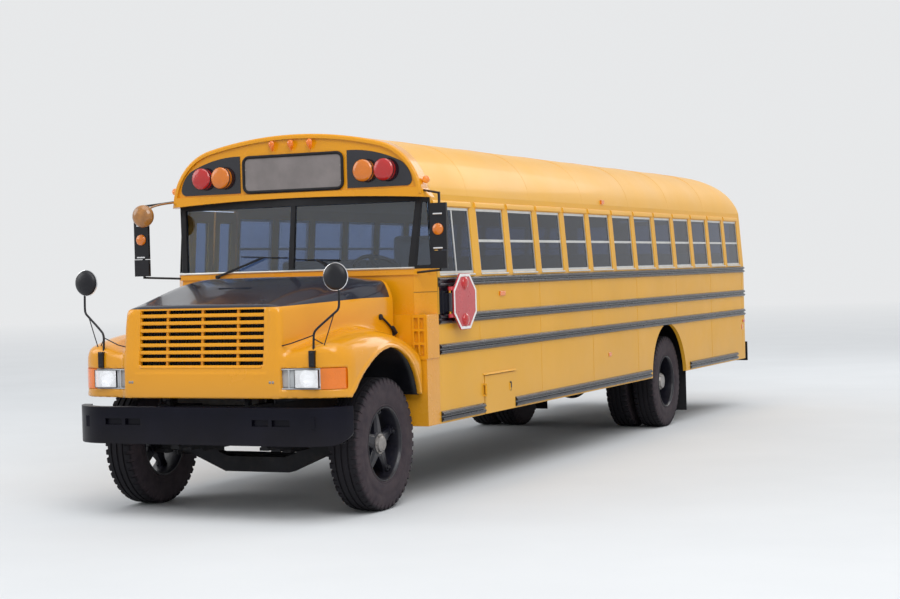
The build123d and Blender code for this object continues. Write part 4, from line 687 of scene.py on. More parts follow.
def hood_shell():
    pitch = 12.5
    origin = (-1225.0, -865.0, 835.0)
    counts = [int(span / pitch) + 2 for span in (2450, 1425, 985)]
    grid = [origin[a] + np.arange(counts[a]) * pitch for a in range(3)]
    values = hood_field(grid[0][:, None, None], grid[1][None, :, None], grid[2][None, None, :])
    values = np.broadcast_to(values, tuple(counts)).astype(np.float32)
    verts, faces = net(values, origin, pitch)
    verts = settle(verts) / 1000 + np.array((0, FRONT, 0))
    return make("hood_shell", "hood", "hood_paint", verts=verts.tolist(), faces=faces.tolist(), angle=60,
                stands_for="hood")


hood_tree = BVHTree.FromObject(hood_shell(), bpy.context.evaluated_depsgraph_get())


# The grille: eight slots between seven bars, five posts behind them and a dark screen.
RAKE = 0.0802
GRILLE_MIDDLE = 1.368


def face_y(z):
    """The hood's front face, which leans back as it rises."""
    return FRONT - 0.838 + (z - 1.110) * RAKE


def grille():
    lean = Matrix.Rotation(-math.atan(RAKE), 3, "X")
    bars = bmesh.new()
    for step in range(1, 8):
        z = 1.148 + 0.055 * step
        y = face_y(z) + 0.012
        box(bars, (-0.556, y, z - 0.014), (0.556, y + 0.022, z + 0.014), lean)
    make("grille_bars", "hood", "yellow_lit_front", bars, bevel=0.006, segments=3)
    posts = bmesh.new()
    y = face_y(GRILLE_MIDDLE)
    for x in (-0.310, 0.0, 0.310):
        box(posts, (x - 0.011, y + 0.028, 1.150), (x + 0.011, y + 0.054, 1.586), lean)
    for x in (-0.550, 0.550):
        box(posts, (x - 0.010, y + 0.02, 1.150), (x + 0.010, y + 0.05, 1.586), lean)
    make("grille_posts", "hood", "yellow_lit_front", posts, bevel=0.004)
    screen = bmesh.new()
    y += 0.085
    box(screen, (-0.600, y, 1.120), (0.600, y + 0.006, 1.600), lean)
    for step in range(49):
        x = -0.576 + 0.024 * step
        box(screen, (x - 0.002, y - 0.012, 1.125), (x + 0.002, y, 1.595), lean)
    make("grille_screen", "hood", "screen", screen)


def fender_liners():
    """Dark inner fenders that follow the arches, each with its inner wall."""
    middle_y, middle_z = -50, 860
    path = []
    for y, z in ARCH[1:-1]:
        grow = 1 + 9 / math.hypot(y - middle_y, z - middle_z)
        path.append((middle_y + (y - middle_y) * grow, middle_z + (z - middle_z) * grow))
    count = len(path)
    for side, name in ((1, "left"), (-1, "right")):
        xs = [0.505, 0.515, 0.70, 0.90, 1.10, 1.166]
        verts = [(side * x, FRONT + y / 1000, z / 1000) for x in xs for y, z in path]
        faces = []
        for row in range(len(xs) - 1):
            for step in range(count - 1):
                a = row * count + step
                faces.append((a, a + 1, a + count + 1, a + count))
        base = len(verts)
        verts += [(side * xs[0], FRONT + y / 1000, 0.862) for y, z in path]
        for step in range(count - 1):
            faces.append((step, step + 1, base + step + 1, base + step))
        obj = make(f"fender_liner_{name}", "hood", "dark_plastic", verts=verts, faces=faces,
                   angle=50)
        skin = obj.modifiers.new("skin", "SOLIDIFY")
        skin.thickness = 0.005
        skin.offset = 0


def nose_bolts():
    bm = bmesh.new()
    y = face_y(1.118) + 0.001
    for x in (-0.628, -0.604, 0.604, 0.628):
        disc(bm, (x, y, 1.035), (0, -1, 0), [(0, 0.011), (0.004, 0.011), (0.007, 0.007), (0.008, 0)], 12)
    make("nose_bolts", "hood", "steel", bm)


grille()
fender_liners()
nose_bolts()


# Tyres: ribs with shoulder lugs, and sidewalls that bulge.
TYRE_SECTION = [
    # place across and radius on a lug, then both in a notch where they differ
    (0.1040, 0.2840), (0.1130, 0.2880), (0.1170, 0.2960), (0.1150, 0.3030), (0.1215, 0.3200),
    (0.1250, 0.3480), (0.1268, 0.3800), (0.1250, 0.3850), (0.1268, 0.4100), (0.1250, 0.4350),
    (0.1215, 0.4590, 0.1200, 0.4590), (0.1175, 0.4820, 0.1075, 0.4790), (0.1110, 0.5020, 0.1000, 0.4900),
    (0.0970, 0.5070, 0.0900, 0.4930), (0.0700, 0.5082, 0.0700, 0.5070), (0.0610, 0.5085),
    (0.0580, 0.4960), (0.0480, 0.4960), (0.0450, 0.5088), (0.0090, 0.5090), (0.0060, 0.4970),
]
LUGS = 46


def tyre_mesh(centre_x):
    """Verts and faces of a tyre about the X axis, centred on the axle's line."""
    half = [(*row, *row)[:4] for row in TYRE_SECTION]
    section = half + [(-x, r, -nx, nr) for x, r, nx, nr in reversed(half)]
    count = len(section)
    pitch = 2 * math.pi / LUGS
    verts, faces, angles = [], [], []
    for lug in range(LUGS):
        base = pitch * lug
        angles += [(base, 0), (base + 0.56 * pitch, 0), (base + 0.61 * pitch, 1), (base + 0.95 * pitch, 1)]
    for angle, notch in angles:
        for place, (x, r, nx, nr) in enumerate(section):
            across, radius = (nx, nr) if notch else (x, r)
            turn = angle + (0.5 * pitch if place >= count / 2 else 0)
            verts.append((centre_x + across, radius * math.cos(turn), radius * math.sin(turn)))
    for ring in range(len(angles)):
        a, b = ring * count, (ring + 1) % len(angles) * count
        for step in range(count - 1):
            faces.append((a + step, a + step + 1, b + step + 1, b + step))
    return verts, faces


def tyres(name, body, node, centres, axle_y):
    """One tyre, or a twin pair in one piece, with its own middle on the axle."""
    verts, faces = [], []
    for centre in centres:
        more_verts, more_faces = tyre_mesh(centre)
        faces += [tuple(v + len(verts) for v in face) for face in more_faces]
        verts += more_verts
    make(f"tread_{name}", body, "tyre", verts=verts, faces=faces, angle=32, at=(0, axle_y, AXLE),
         stands_for=node)


for name, side in (("left", 1), ("right", -1)):
    tyres(f"front_{name}", f"wheel_front_{name}", f"front_tyre_{name}", [side * 1.0], FRONT)
    twins = [side * 1.023, side * 0.705]
    tyres(f"rear_{name}", f"wheels_rear_{name}", f"rear_tyres_{name}", twins, REAR)


# Wheels: cast spokes with rim clamps and nuts round a greased hub.
SPOKES = 5


def lathe(bm, side, axle_y, section, steps=48):
    """A closed turned form about an axle from (place across, radius) pairs."""
    rings = []
    for across, radius in section:
        circle = around((axle_y, AXLE), radius, steps)
        rings.append([bm.verts.new((side * across, y, z)) for y, z in circle])
    bridge(bm, rings, loop=True)


def nuts(bm, axle_y, side, x, reach, count, radius, height, start=0.0):
    profile = [(0, radius * 1.5), (0.004, radius * 1.5), (0.004, radius), (height, radius),
               (height + 0.001, radius * 0.5), (height + 0.008, radius * 0.45), (height + 0.009, 0)]
    for y, z in around((axle_y, AXLE), reach, count, start):
        disc(bm, (side * x, y, z), (side, 0, 0), profile, 6)


def spokes(bm, side, axle_y, levels, start):
    """Five spokes from levels of (reach, half width, back, front)."""
    for spoke in range(SPOKES):
        turn = start + 2 * math.pi * spoke / SPOKES
        out = Vector((0, math.cos(turn), math.sin(turn)))
        across = Vector((0, -math.sin(turn), math.cos(turn)))
        rings = []
        for reach, half_width, back, front in levels:
            edge = front - 0.016
            corners = ((-1, back), (-1, edge), (-0.55, front), (0.55, front), (1, edge), (1, back))
            middle = Vector((0, axle_y, AXLE)) + out * reach
            rings.append([bm.verts.new(middle + Vector((side * x, 0, 0)) + across * (u * half_width))
                          for u, x in corners])
        bridge(bm, rings)


def front_wheel(name, body, node, side):
    rim = bmesh.new()
    lathe(rim, side, FRONT,
          [(0.886, 0.2845), (0.892, 0.2845), (0.902, 0.2780), (0.930, 0.2760), (1.060, 0.2760),
           (1.094, 0.2790), (1.106, 0.2850), (1.1145, 0.2845), (1.1145, 0.2780), (1.104, 0.2700),
           (1.090, 0.2640), (0.910, 0.2640), (0.886, 0.2740)])
    make(f"rim_{name}", body, "wheel_black", rim, angle=40, stands_for=node)
    star = bmesh.new()
    start = math.pi / 2
    spokes(star, side, FRONT,
           [(0.085, 0.055, 0.975, 1.066), (0.150, 0.046, 0.985, 1.060), (0.215, 0.036, 0.998, 1.050),
            (0.250, 0.036, 1.006, 1.046), (0.266, 0.042, 1.008, 1.046)], start)
    lathe(star, side, FRONT,
          [(0.962, 0.060), (0.962, 0.104), (1.046, 0.106), (1.062, 0.098), (1.064, 0.080), (1.064, 0.060)])
    make(f"spokes_{name}", body, "wheel_black", star, angle=28, bevel=0.005)
    cap = bmesh.new()
    disc(cap, (side * 1.058, FRONT, AXLE), (side, 0, 0),
         [(0, 0.078), (0.012, 0.078), (0.014, 0.066), (0.030, 0.062), (0.036, 0.050), (0.040, 0.046),
          (0.046, 0.020), (0.047, 0)], 40)
    nuts(cap, FRONT, side, 1.070, 0.070, 6, 0.006, 0.006)
    make(f"hub_cap_{name}", body, "hub_metal", cap, angle=30)
    clamps = bmesh.new()
    nuts(clamps, FRONT, side, 1.050, 0.246, SPOKES, 0.019, 0.020, start)
    half = Vector((0.012, 0.030, 0.016))
    for spoke, (y, z) in enumerate(around((FRONT, AXLE), 0.262, SPOKES, start)):
        middle = Vector((side * 1.054, y, z))
        box(clamps, middle - half, middle + half, Matrix.Rotation(2 * math.pi * spoke / SPOKES, 3, "X"))
    make(f"rim_clamps_{name}", body, "wheel_black", clamps, bevel=0.003)


def rear_wheel(name, body, node, side):
    rim = bmesh.new()
    outer = [(0.909, 0.2845), (0.918, 0.2800), (0.945, 0.2760), (1.100, 0.2760), (1.122, 0.2800),
             (1.134, 0.2850), (1.1405, 0.2845), (1.1405, 0.2780), (1.130, 0.2690), (1.112, 0.2640),
             (0.925, 0.2640), (0.909, 0.2740)]
    lathe(rim, side, REAR, outer)
    lathe(rim, side, REAR, [(x - 0.318, r) for x, r in outer])
    lathe(rim, side, REAR, [(0.800, 0.2640), (0.915, 0.2640), (0.915, 0.2520), (0.800, 0.2520)])
    make(f"rim_{name}", body, "wheel_black", rim, angle=40, stands_for=node)
    star = bmesh.new()
    start = math.pi / 2 + 2 * math.pi * 0.35 / SPOKES
    lathe(star, side, REAR,
          [(0.610, 0.110), (0.610, 0.2080), (0.860, 0.2100), (0.872, 0.2000), (0.880, 0.1500),
           (0.905, 0.1220), (1.040, 0.1080), (1.060, 0.1020), (1.072, 0.0900), (1.072, 0.0500),
           (0.700, 0.0500)])
    spokes(star, side, REAR,
           [(0.100, 0.048, 0.880, 1.020), (0.160, 0.042, 0.875, 0.985), (0.215, 0.036, 0.872, 0.955),
            (0.250, 0.036, 0.880, 0.940), (0.264, 0.042, 0.885, 0.938)], start)
    make(f"spokes_{name}", body, "wheel_black", star, angle=28, bevel=0.004)
    flange = bmesh.new()
    disc(flange, (side * 1.066, REAR, AXLE), (side, 0, 0),
         [(0, 0.092), (0.010, 0.092), (0.013, 0.084), (0.030, 0.074), (0.034, 0)], 36)
    nuts(flange, REAR, side, 1.076, 0.080, 8, 0.008, 0.008)
    nuts(flange, REAR, side, 0.940, 0.246, SPOKES, 0.019, 0.020, start)
    make(f"axle_flange_{name}", body, "hub_metal", flange, angle=30)


for name, side in (("left", 1), ("right", -1)):
    front_wheel(f"front_{name}", f"wheel_front_{name}", f"front_wheel_{name}", side)
    rear_wheel(f"rear_{name}", f"wheels_rear_{name}", f"rear_wheels_{name}", side)


# Body trim: ribs on the rub rails, window headers, seams, rivets and sill strips.
RAILS = [(1.730, True), (1.430, True), (1.187, True), (0.647, False)]


def rail_spans(side, full):
    """Where a rail runs along one side: whole, or broken by the doors and the wheel arch."""
    start = -3.878 if side > 0 else -3.013
    if full:
        return [(start, 5.420)]
    ahead = [(start, -3.005), (-2.315, 1.541)] if side > 0 else [(start, 1.541)]
    return [*ahead, (2.998, 5.048)]


def rail_ribs(side, name):
    bm = bmesh.new()
    x = side * (HALF + 0.0125)
    for z, full in RAILS:
        for y0, y1 in rail_spans(side, full):
            for level in (z - 0.020, z + 0.020):
                rod(bm, [(x, y0 + 0.004, level), (x, y1 - 0.004, level)], 0.0095, 12)
    # The ribs take a lighter black than the rails: a painted highlight.
    make(f"rail_ribs_{name}", "chassis", "rail_rib_sheen", bm, angle=30)


def window_edges(side, name):
    """A pressed header over each window and an aluminium sill below it."""
    header = bmesh.new()
    sill = bmesh.new()
    spans = [(FIRST_WINDOW + WINDOW_PITCH * row, WINDOW_WIDTH) for row in range(12)]
    if side > 0:
        spans.append((-3.830, 0.696))
    low, high = 2.346, 2.396
    for start, width in spans:
        section = [(wall_x(low) - 0.006, low), (wall_x(low) + 0.014, low + 0.001),
                   (wall_x(low) + 0.016, low + 0.008), (wall_x(high) + 0.010, high - 0.006),
                   (wall_x(high) - 0.006, high)]
        bar(header, [(side * x, z) for x, z in section], "Y", start - 0.028, start + width + 0.028)
        section = [(HALF - 0.012, 1.796), (HALF + 0.006, 1.791), (HALF + 0.007, 1.780),
                   (HALF - 0.012, 1.780)]
        bar(sill, [(side * x, z) for x, z in section], "Y", start - 0.004, start + width + 0.004)
    # The headers take the roof's lighter yellow: a painted highlight on their upward faces.
    make(f"window_headers_{name}", "chassis", "yellow_lit_top", header, bevel=0.003)
    make(f"window_sills_{name}", "chassis", "aluminium", sill, bevel=0.0015)


BATTERY_DOOR = (-3.05, -2.28)


def rivets(side, name):
    bm = bmesh.new()
    start = -3.82 if side > 0 else -2.98
    for z, first, last in ((1.672, start, 5.38), (1.372, start, 5.38), (1.130, start, 1.55),
                           (1.130, 2.90, 5.38), (0.712, start, 1.50), (0.712, 2.95, 5.38)):
        for step in range(int((last - first) / 0.14) + 1):
            y = first + 0.14 * step
            if side < 0 or z > 1 or not -3.04 < y < -2.29:
                dome(bm, (side * (HALF - 0.0003), y, z), (side, 0, 0))
    for row in range(13):
        for z in (1.86, 2.00, 2.14, 2.28):
            y = FIRST_WINDOW + WINDOW_PITCH * row - 0.057
            dome(bm, (side * (wall_x(z) - 0.0003), y, z), (side, 0, 0.075))
    make(f"rivets_{name}", "chassis", "yellow_lit_side", bm, angle=60)


def seams(side, name):
    """Thin overlapping edges of the side sheets."""
    bm = bmesh.new()
    for row in range(0, 13, 2):
        y = FIRST_WINDOW + WINDOW_PITCH * row - 0.057
        if side < 0 and y < -3.03:
            continue
        for low, high in ((1.478, 1.688), (1.234, 1.384), (0.694, 1.140)):
            on_door = side > 0 and BATTERY_DOOR[0] < y < BATTERY_DOOR[1]
            if low > 1 or not (1.50 < y < 2.92 or on_door):
                box(bm, (side * (HALF - 0.001), y - 0.012, low), (side * (HALF + 0.0018), y + 0.012, high))
    make(f"side_seams_{name}", "chassis", "yellow_lit_side", bm, bevel=0.0008)


def roof_seams():
    """Raised lapped seams over the roof at its bows, taken from the roof's own section."""
    outline = {}
    for vert in nodes["roof"].data.vertices:
        x, y, z = vert.co
        if -3.9 < y < -3.88 and z > 2.43:
            outline[round(x, 4)] = max(outline.get(round(x, 4), 0), z)
    hull = []
    for x, z in sorted(outline.items()):
        while len(hull) > 1:
            (ax, az), (bx, bz) = hull[-2:]
            if (bx - ax) * (z - az) - (bz - az) * (x - ax) < 0:
                break
            hull.pop()
        hull.append((x, z))
    crown = cad_box[1][2]
    bm = bmesh.new()
    for row in range(6):
        middle = -3.134 + 2 * WINDOW_PITCH * row
        low, high = middle - 0.014, middle + 0.014
        rings = []
        for x, z in hull:
            top = min(z + 0.0022, crown)
            corners = ((low, top), (high, top), (high, z - 0.002), (low, z - 0.002))
            rings.append([bm.verts.new((x, y, level)) for y, level in corners])
        bridge(bm, rings)
    make("roof_seams", "chassis", "yellow_lit_top", bm, angle=30)


def roof_skin():
    """A cleaned copy of the roof with smooth shading, standing for it."""
    bm = bmesh.new()
    bm.from_mesh(nodes["roof"].data)
    bmesh.ops.remove_doubles(bm, verts=bm.verts, dist=2e-5)
    bmesh.ops.dissolve_limit(bm, angle_limit=math.radians(0.6), verts=bm.verts, edges=bm.edges)
    bm.verts.index_update()
    verts = [v.co.copy() for v in bm.verts]
    faces = [[v.index for v in f.verts] for f in bm.faces]
    bm.free()
    make("roof_skin", "chassis", "yellow_lit_top", verts=verts, faces=faces, angle=30, stands_for="roof")


def side_details():
    backing = bmesh.new()
    box(backing, (HALF - 0.001, -3.860, 1.472), (HALF + 0.002, -3.180, 1.691))
    make("arm_backing", "chassis", "black_gloss", backing, bevel=0.001)
    drip = bmesh.new()
    section = [(HALF - 0.002, 0.926), (HALF + 0.016, 0.924), (HALF + 0.016, 0.928), (HALF - 0.002, 0.940)]
    bar(drip, section, "Y", -3.02, -2.30)
    make("battery_drip", "chassis", "yellow_lit_side", drip, bevel=0.001)
    reflectors = bmesh.new()
    for side in (1, -1):
        disc(reflectors, (side * HALF, 5.30, 1.00), (side, 0, 0),
             [(0, 0.034), (0.004, 0.034), (0.007, 0.026), (0.008, 0)], 24)
    # The reflectors take the amber lens, whose emission makes them glow though no lamp is behind them: a
    # painted glow.
    make("side_reflectors", "chassis", "amber_lens", reflectors)
    latch = bmesh.new()
    box(latch, (HALF + 0.003, -2.440, 0.755), (HALF + 0.008, -2.412, 0.835))
    box(latch, (HALF + 0.008, -2.434, 0.780), (HALF + 0.014, -2.418, 0.828))
    make("battery_latch", "battery_door", "dark_plastic", latch, bevel=0.0015)


for name, side in (("left", 1), ("right", -1)):
    rail_ribs(side, name)
    window_edges(side, name)
    rivets(side, name)
    seams(side, name)
roof_seams()
roof_skin()
side_details()


# Stop arm: a white border and two red lamps on each face.
SIGN_Y = -3.495
SIGN_Z = 1.565


def stop_sign():
    border = bmesh.new()
    for x, thick in ((1.2862, 0.0016), (1.2744, -0.0016)):
        rings = []
        for radius, level in ((0.2440, 0), (0.2440, thick), (0.2200, thick), (0.2200, 0)):
            corners = around((SIGN_Y, SIGN_Z), radius, 8, math.radians(22.5))
            rings.append([border.verts.new((x + level, y, z)) for y, z in corners])
        bridge(border, rings, loop=True)
    make("stop_border", "stop_arm", "white_paint", border, angle=20)
    lamps = bmesh.new()
    rims = bmesh.new()
    for z in (SIGN_Z - 0.150, SIGN_Z + 0.150):
        for way, x in ((1, 1.2856), (-1, 1.2760)):
            disc(lamps, (x, SIGN_Y, z), (way, 0, 0),
                 [(0, 0.052), (0.004, 0.052), (0.012, 0.047), (0.020, 0.034), (0.024, 0.016), (0.025, 0)])
        ring = around((SIGN_Y, z), 0.054, 32)
        rod(rims, [(1.287, *point) for point in [*ring, ring[0]]], 0.0035, 8)
    make("stop_lamps", "stop_arm", "red_lens", lamps)
    make("stop_lamp_rims", "stop_arm", "red_paint", rims)


# Front and rear signs, left blank, with their borders, and the warning lamps' rims and domes.
WARN_Y = -4.0705
WARN_REAR_Y = 5.5105
WARN_LAMPS = [("amber", 0.669), ("red", 0.857)]


def rounded_path(cz, half_w, half_h, radius, y):
    points = []
    for sx, sz, start in ((1, 1, 0), (-1, 1, 90), (-1, -1, 180), (1, -1, 270)):
        for step in range(7):
            turn = math.radians(start + 15 * step)
            points.append((sx * (half_w - radius) + radius * math.cos(turn), y,
                           cz + sz * (half_h - radius) + radius * math.sin(turn)))
    return [*points, points[0]]


def signs():
    bm = bmesh.new()
    closed_tube(bm, rounded_path(2.659, 0.464, 0.145, 0.050, -4.034), 0.013)
    closed_tube(bm, rounded_path(2.600, 0.464, 0.100, 0.045, 5.474), 0.009)
    make("sign_borders", "chassis", "rubber", bm)
    bm = bmesh.new()
    for z in (2.575, 2.700):
        for x in (-0.4462, 0.4462):
            dome(bm, (x, -4.0345, z), (0, -1, 0), 0.006, 0.003, 10)
    make("sign_screws", "chassis", "steel", bm)


def level_ring(x, y, z, radius, steps):
    ring = [(u, y, v) for u, v in around((x, z), radius, steps)]
    return [*ring, ring[0]]


def warning_lamps():
    rims = bmesh.new()
    for colour, x in WARN_LAMPS:
        domes = bmesh.new()
        for y, z, way in ((WARN_Y, 2.645, -1), (WARN_REAR_Y, 2.600, 1)):
            for side in (1, -1):
                disc(domes, (side * x, y, z), (0, way, 0),
                     [(-0.0385, 0.0885), (0.006, 0.0885), (0.012, 0.084), (0.018, 0.072), (0.022, 0.052),
                      (0.025, 0.028), (0.026, 0)], 40)
                closed_tube(rims, level_ring(side * x, y - 0.001 * way, z, 0.090, 40), 0.0045)
        make(f"{colour}_domes", "chassis", f"{colour}_lens", domes)
    make("lamp_rims", "chassis", "rubber", rims)


def clearance_lamps():
    """Three teardrop lamps on the front cap."""
    bm = bmesh.new()
    for x in (-0.178, 0.0, 0.178):
        rings = []
        for y, z, radius in ((-4.052, 2.928, 0.010), (-4.058, 2.915, 0.024), (-4.059, 2.900, 0.029),
                             (-4.054, 2.880, 0.024), (-4.047, 2.858, 0.014), (-4.042, 2.842, 0.005)):
            rings.append([bm.verts.new((x + u, y + 0.5 * v, z)) for u, v in around((0, 0), radius, 16)])
        bridge(bm, rings)
    make("clearance_lamps", "chassis", "amber_lens", bm, angle=50)


stop_sign()
signs()
warning_lamps()
clearance_lamps()


# Mirrors: glass, lamps and clips on the tall ones, and the round ones on the fenders and the corner.
MIRROR_X = 1.386
ROUND_X = 1.100
ROUND_Z = 1.799


def tall_mirrors():
    lamps = bmesh.new()
    clips = bmesh.new()
    glass = bmesh.new()
    for side in (1, -1):
        x = side * MIRROR_X
        y = FRONT + 0.500
        disc(lamps, (x, FRONT + 0.474, 2.148), (0, -1, 0),
             [(0, 0.046), (0.010, 0.044), (0.018, 0.034), (0.023, 0.016), (0.024, 0)], 28)
        box(clips, (x - 0.040, y - 0.034, 2.262), (x + 0.040, y - 0.024, 2.274))
        box(clips, (x - 0.040, y - 0.038, 1.994), (x + 0.040, y - 0.024, 2.006))
        box(glass, (x - 0.064, y - 0.0005, 2.000), (x + 0.064, y + 0.002, 2.340))
        box(glass, (x - 0.064, y - 0.0005, 1.850), (x + 0.064, y + 0.002, 1.970))
    make("mirror_lamps", "chassis", "amber_lens", lamps)
    make("mirror_clips", "chassis", "chrome", clips, bevel=0.002)
    make("mirror_glass", "chassis", "mirror_silver", glass, bevel=0.001)


def fender_mirrors():
    shells = bmesh.new()
    rims = bmesh.new()
    glass = bmesh.new()
    posts = bmesh.new()
    for side in (1, -1):
        disc(shells, (side * ROUND_X, FRONT - 0.710, ROUND_Z), (0, -1, 0),
             [(-0.012, 0.070), (0.0, 0.098), (0.010, 0.094), (0.022, 0.080), (0.032, 0.056), (0.038, 0.028),
              (0.040, 0)], 40)
        closed_tube(rims, level_ring(side * ROUND_X, FRONT - 0.704, ROUND_Z, 0.099, 48), 0.0045)
        disc(glass, (side * ROUND_X, FRONT - 0.698, ROUND_Z), (0, 1, 0),
             [(0, 0.096), (0.012, 0.088), (0.024, 0.060), (0.030, 0.025), (0.031, 0)], 40)
        stem = [(0.925, -0.748, 1.255), (0.925, -0.742, 1.345), (0.930, -0.739, 1.392),
                (0.960, -0.732, 1.430), (1.080, -0.710, 1.530), (1.112, -0.705, 1.560),
                (1.122, -0.703, 1.600), (1.122, -0.700, 1.712)]
        rod(posts, smooth_line([(side * x, FRONT + y, z) for x, y, z in stem], 5), 0.0088, 10)
        for radius, *stay in (
            (0.0045, (0.926, -0.745, 1.375), (0.760, -0.790, 1.318), (0.500, -0.802, 1.262)),
            (0.004, (0.928, -0.745, 1.350), (1.060, -0.640, 1.250)),
            (0.004, (1.078, -0.710, 1.520), (0.985, -0.720, 1.262)),
        ):
            rod(posts, [(side * x, FRONT + y, z) for x, y, z in stay], radius, 8)
        box(posts, (side * 0.905, FRONT - 0.790, 1.142), (side * 0.950, FRONT - 0.760, 1.264))
        for z in (1.160, 1.246):
            dome(posts, (side * 0.9275, FRONT - 0.790, z), (0, -1, 0), 0.010, 0.006, 10)
    make("fender_mirror_shells", "hood", "dark_plastic", shells)
    make("fender_mirror_rims", "hood", "chrome", rims)
    make("fender_mirror_glass", "hood", "mirror_silver", glass)
    make("fender_mirror_posts", "hood", "dark_plastic", posts, angle=40, stands_for="fender_mirrors")


def corner_mirror():
    bm = bmesh.new()
    x, y = -1.320, FRONT + 0.400
    disc(bm, (x, y + 0.02, 2.346), (0.25, -1, 0),
         [(-0.02, 0.060), (0.0, 0.094), (0.012, 0.094), (0.030, 0.080), (0.044, 0.052), (0.052, 0.022),
          (0.053, 0)], 36)
    stay = [(x, y + 0.03, 2.346), (x + 0.04, y + 0.06, 2.41), (x + 0.10, y + 0.12, 2.44),
            (-1.17, FRONT + 0.66, 2.46)]
    rod(bm, smooth_line(stay, 5), 0.008, 10)
    make("round_mirror", "chassis", "amber_brown", bm, angle=40)


def windshield_sill():
    """A pale strip below the windshield."""
    bm = bmesh.new()
    xs = [1.10 * step / 20 for step in range(-20, 21)]
    rod(bm, [(x, FRONT + 0.55838 + 0.0581 * abs(x), 1.849) for x in xs], 0.010, 8)
    make("windshield_sill", "chassis", "aluminium", bm)


tall_mirrors()
fender_mirrors()
corner_mirror()
windshield_sill()


# Cowl corners, headlamps, latches and other small fittings.
def cowl_corners():
    """The slanted panels that close the cowl between its front and the body sides."""
    panels = bmesh.new()
    trim = bmesh.new()
    vents = bmesh.new()
    for side in (1, -1):
        plan = [(1.0840, -4.0480), (1.2196, -3.8905), (1.2135, -3.8850), (1.0780, -4.0425)]
        bar(panels, [(side * x, y) for x, y in plan], "Z", 1.470, 1.842)
        seam = [(1.0846, -4.0486), (1.2202, -3.8911), (1.2196, -3.8906), (1.0840, -4.0481)]
        bar(trim, [(side * x, y) for x, y in seam], "Z", 1.652, 1.656)
        box(trim, (side * 1.216, -3.888, 1.120), (side * 1.2196, -3.885, 1.840))
        box(vents, (side * (HALF - 0.004), -4.122, 1.124), (side * (HALF + 0.010), -3.895, 1.474))
    make("cowl_corners", "chassis", "yellow_lit_front", panels, bevel=0.001)
    make("cowl_seams", "chassis", "rubber", trim)
    make("vent_sides", "chassis", "yellow_lit_front", vents, bevel=0.006, segments=3)


# Headlamps: a plated bowl and bulb behind a fluted lens, beside a grey insert.
LAMP_FACE = -5.476
LENS_INNER = 0.787
LENS_OUTER = 0.979
LAMP_LOW = 0.994
LAMP_HIGH = 1.122
LENS_STEPS = 88


def headlamps():
    lenses = bmesh.new()
    bowls = bmesh.new()
    inserts = bmesh.new()
    rims = bmesh.new()
    middle_x = (LENS_INNER + LENS_OUTER) / 2
    middle_z = (LAMP_LOW + LAMP_HIGH) / 2
    for side in (1, -1):
        plan = [(side * LENS_INNER, LAMP_FACE + 0.008)]
        for step in range(LENS_STEPS + 1):
            x = LENS_INNER + (LENS_OUTER - LENS_INNER) * step / LENS_STEPS
            plan.append((side * x, LAMP_FACE + 0.0035 - 0.0022 * abs(math.sin(math.pi * step / 4))))
        plan.append((side * LENS_OUTER, LAMP_FACE + 0.008))
        bar(lenses, plan, "Z", LAMP_LOW, LAMP_HIGH)
        disc(bowls, (side * middle_x, LAMP_FACE + 0.066, middle_z), (0, -1, 0),
             [(-0.004, 0), (-0.004, 0.064), (0.0, 0.063), (0.046, 0.0625), (0.046, 0.0595), (0.034, 0.054),
              (0.018, 0.040), (0.006, 0.020), (0.003, 0)], 40)
        box(bowls, (side * (LENS_INNER - 0.002), LAMP_FACE + 0.070, LAMP_LOW),
            (side * LENS_OUTER, LAMP_FACE + 0.074, LAMP_HIGH))
        disc(bowls, (side * middle_x, LAMP_FACE + 0.062, middle_z), (0, -1, 0),
             [(0, 0.011), (0.030, 0.010), (0.036, 0.006), (0.038, 0)], 20)
        box(inserts, (side * 0.676, LAMP_FACE + 0.012, LAMP_LOW),
            (side * (LENS_INNER - 0.006), LAMP_FACE + 0.074, LAMP_HIGH))
        for z in (LAMP_LOW - 0.004, LAMP_HIGH + 0.001):
            box(rims, (side * 0.672, LAMP_FACE + 0.001, z), (side * 0.984, LAMP_FACE + 0.020, z + 0.003))
        for x in (0.672, LENS_INNER - 0.004, LENS_OUTER + 0.001):
            box(rims, (side * x, LAMP_FACE + 0.001, LAMP_LOW - 0.004),
                (side * (x + 0.003), LAMP_FACE + 0.020, LAMP_HIGH + 0.004))
    make("headlamp_lenses", "hood", "head_lens", lenses, angle=80, stands_for="headlamps")
    make("headlamp_bowls", "hood", "lamp_silver", bowls, angle=40)
    make("headlamp_inserts", "hood", "grey_plastic", inserts, bevel=0.002)
    make("headlamp_rims", "hood", "dark_plastic", rims)


def hood_side(y, z):
    """How far out the hood's skin lies at a height and a place along the bus."""
    hit = hood_tree.ray_cast(Vector((2, y, z)), Vector((-1, 0, 0)))
    return hit[0].x if hit[0] else 1.0


def hood_latches():
    """A rubber strap and its handle on each side of the hood, near the cowl."""
    bm = bmesh.new()
    for side in (1, -1):
        for out, radius, sides, path in (
            (0.012, 0.0085, 10, [(-4.350, 1.470), (-4.300, 1.440), (-4.240, 1.402), (-4.185, 1.362)]),
            (0.018, 0.0165, 12, [(-4.205, 1.384), (-4.180, 1.362), (-4.152, 1.336)]),
        ):
            line = [(side * (hood_side(y, z) + out), y, z) for y, z in path]
            rod(bm, smooth_line(line, 4), radius, sides)
        y, z = -4.350, 1.470
        disc(bm, (side * (hood_side(y, z) - 0.002), y, z), (side, 0, 0),
             [(0, 0.024), (0.016, 0.022), (0.022, 0.012), (0.023, 0)], 16)
        y, z = -4.160, 1.345
        x = hood_side(y, z)
        box(bm, (side * (x - 0.004), y - 0.020, z - 0.030), (side * (x + 0.010), y + 0.018, z + 0.022))
    make("hood_latches", "hood", "rubber", bm, angle=40)


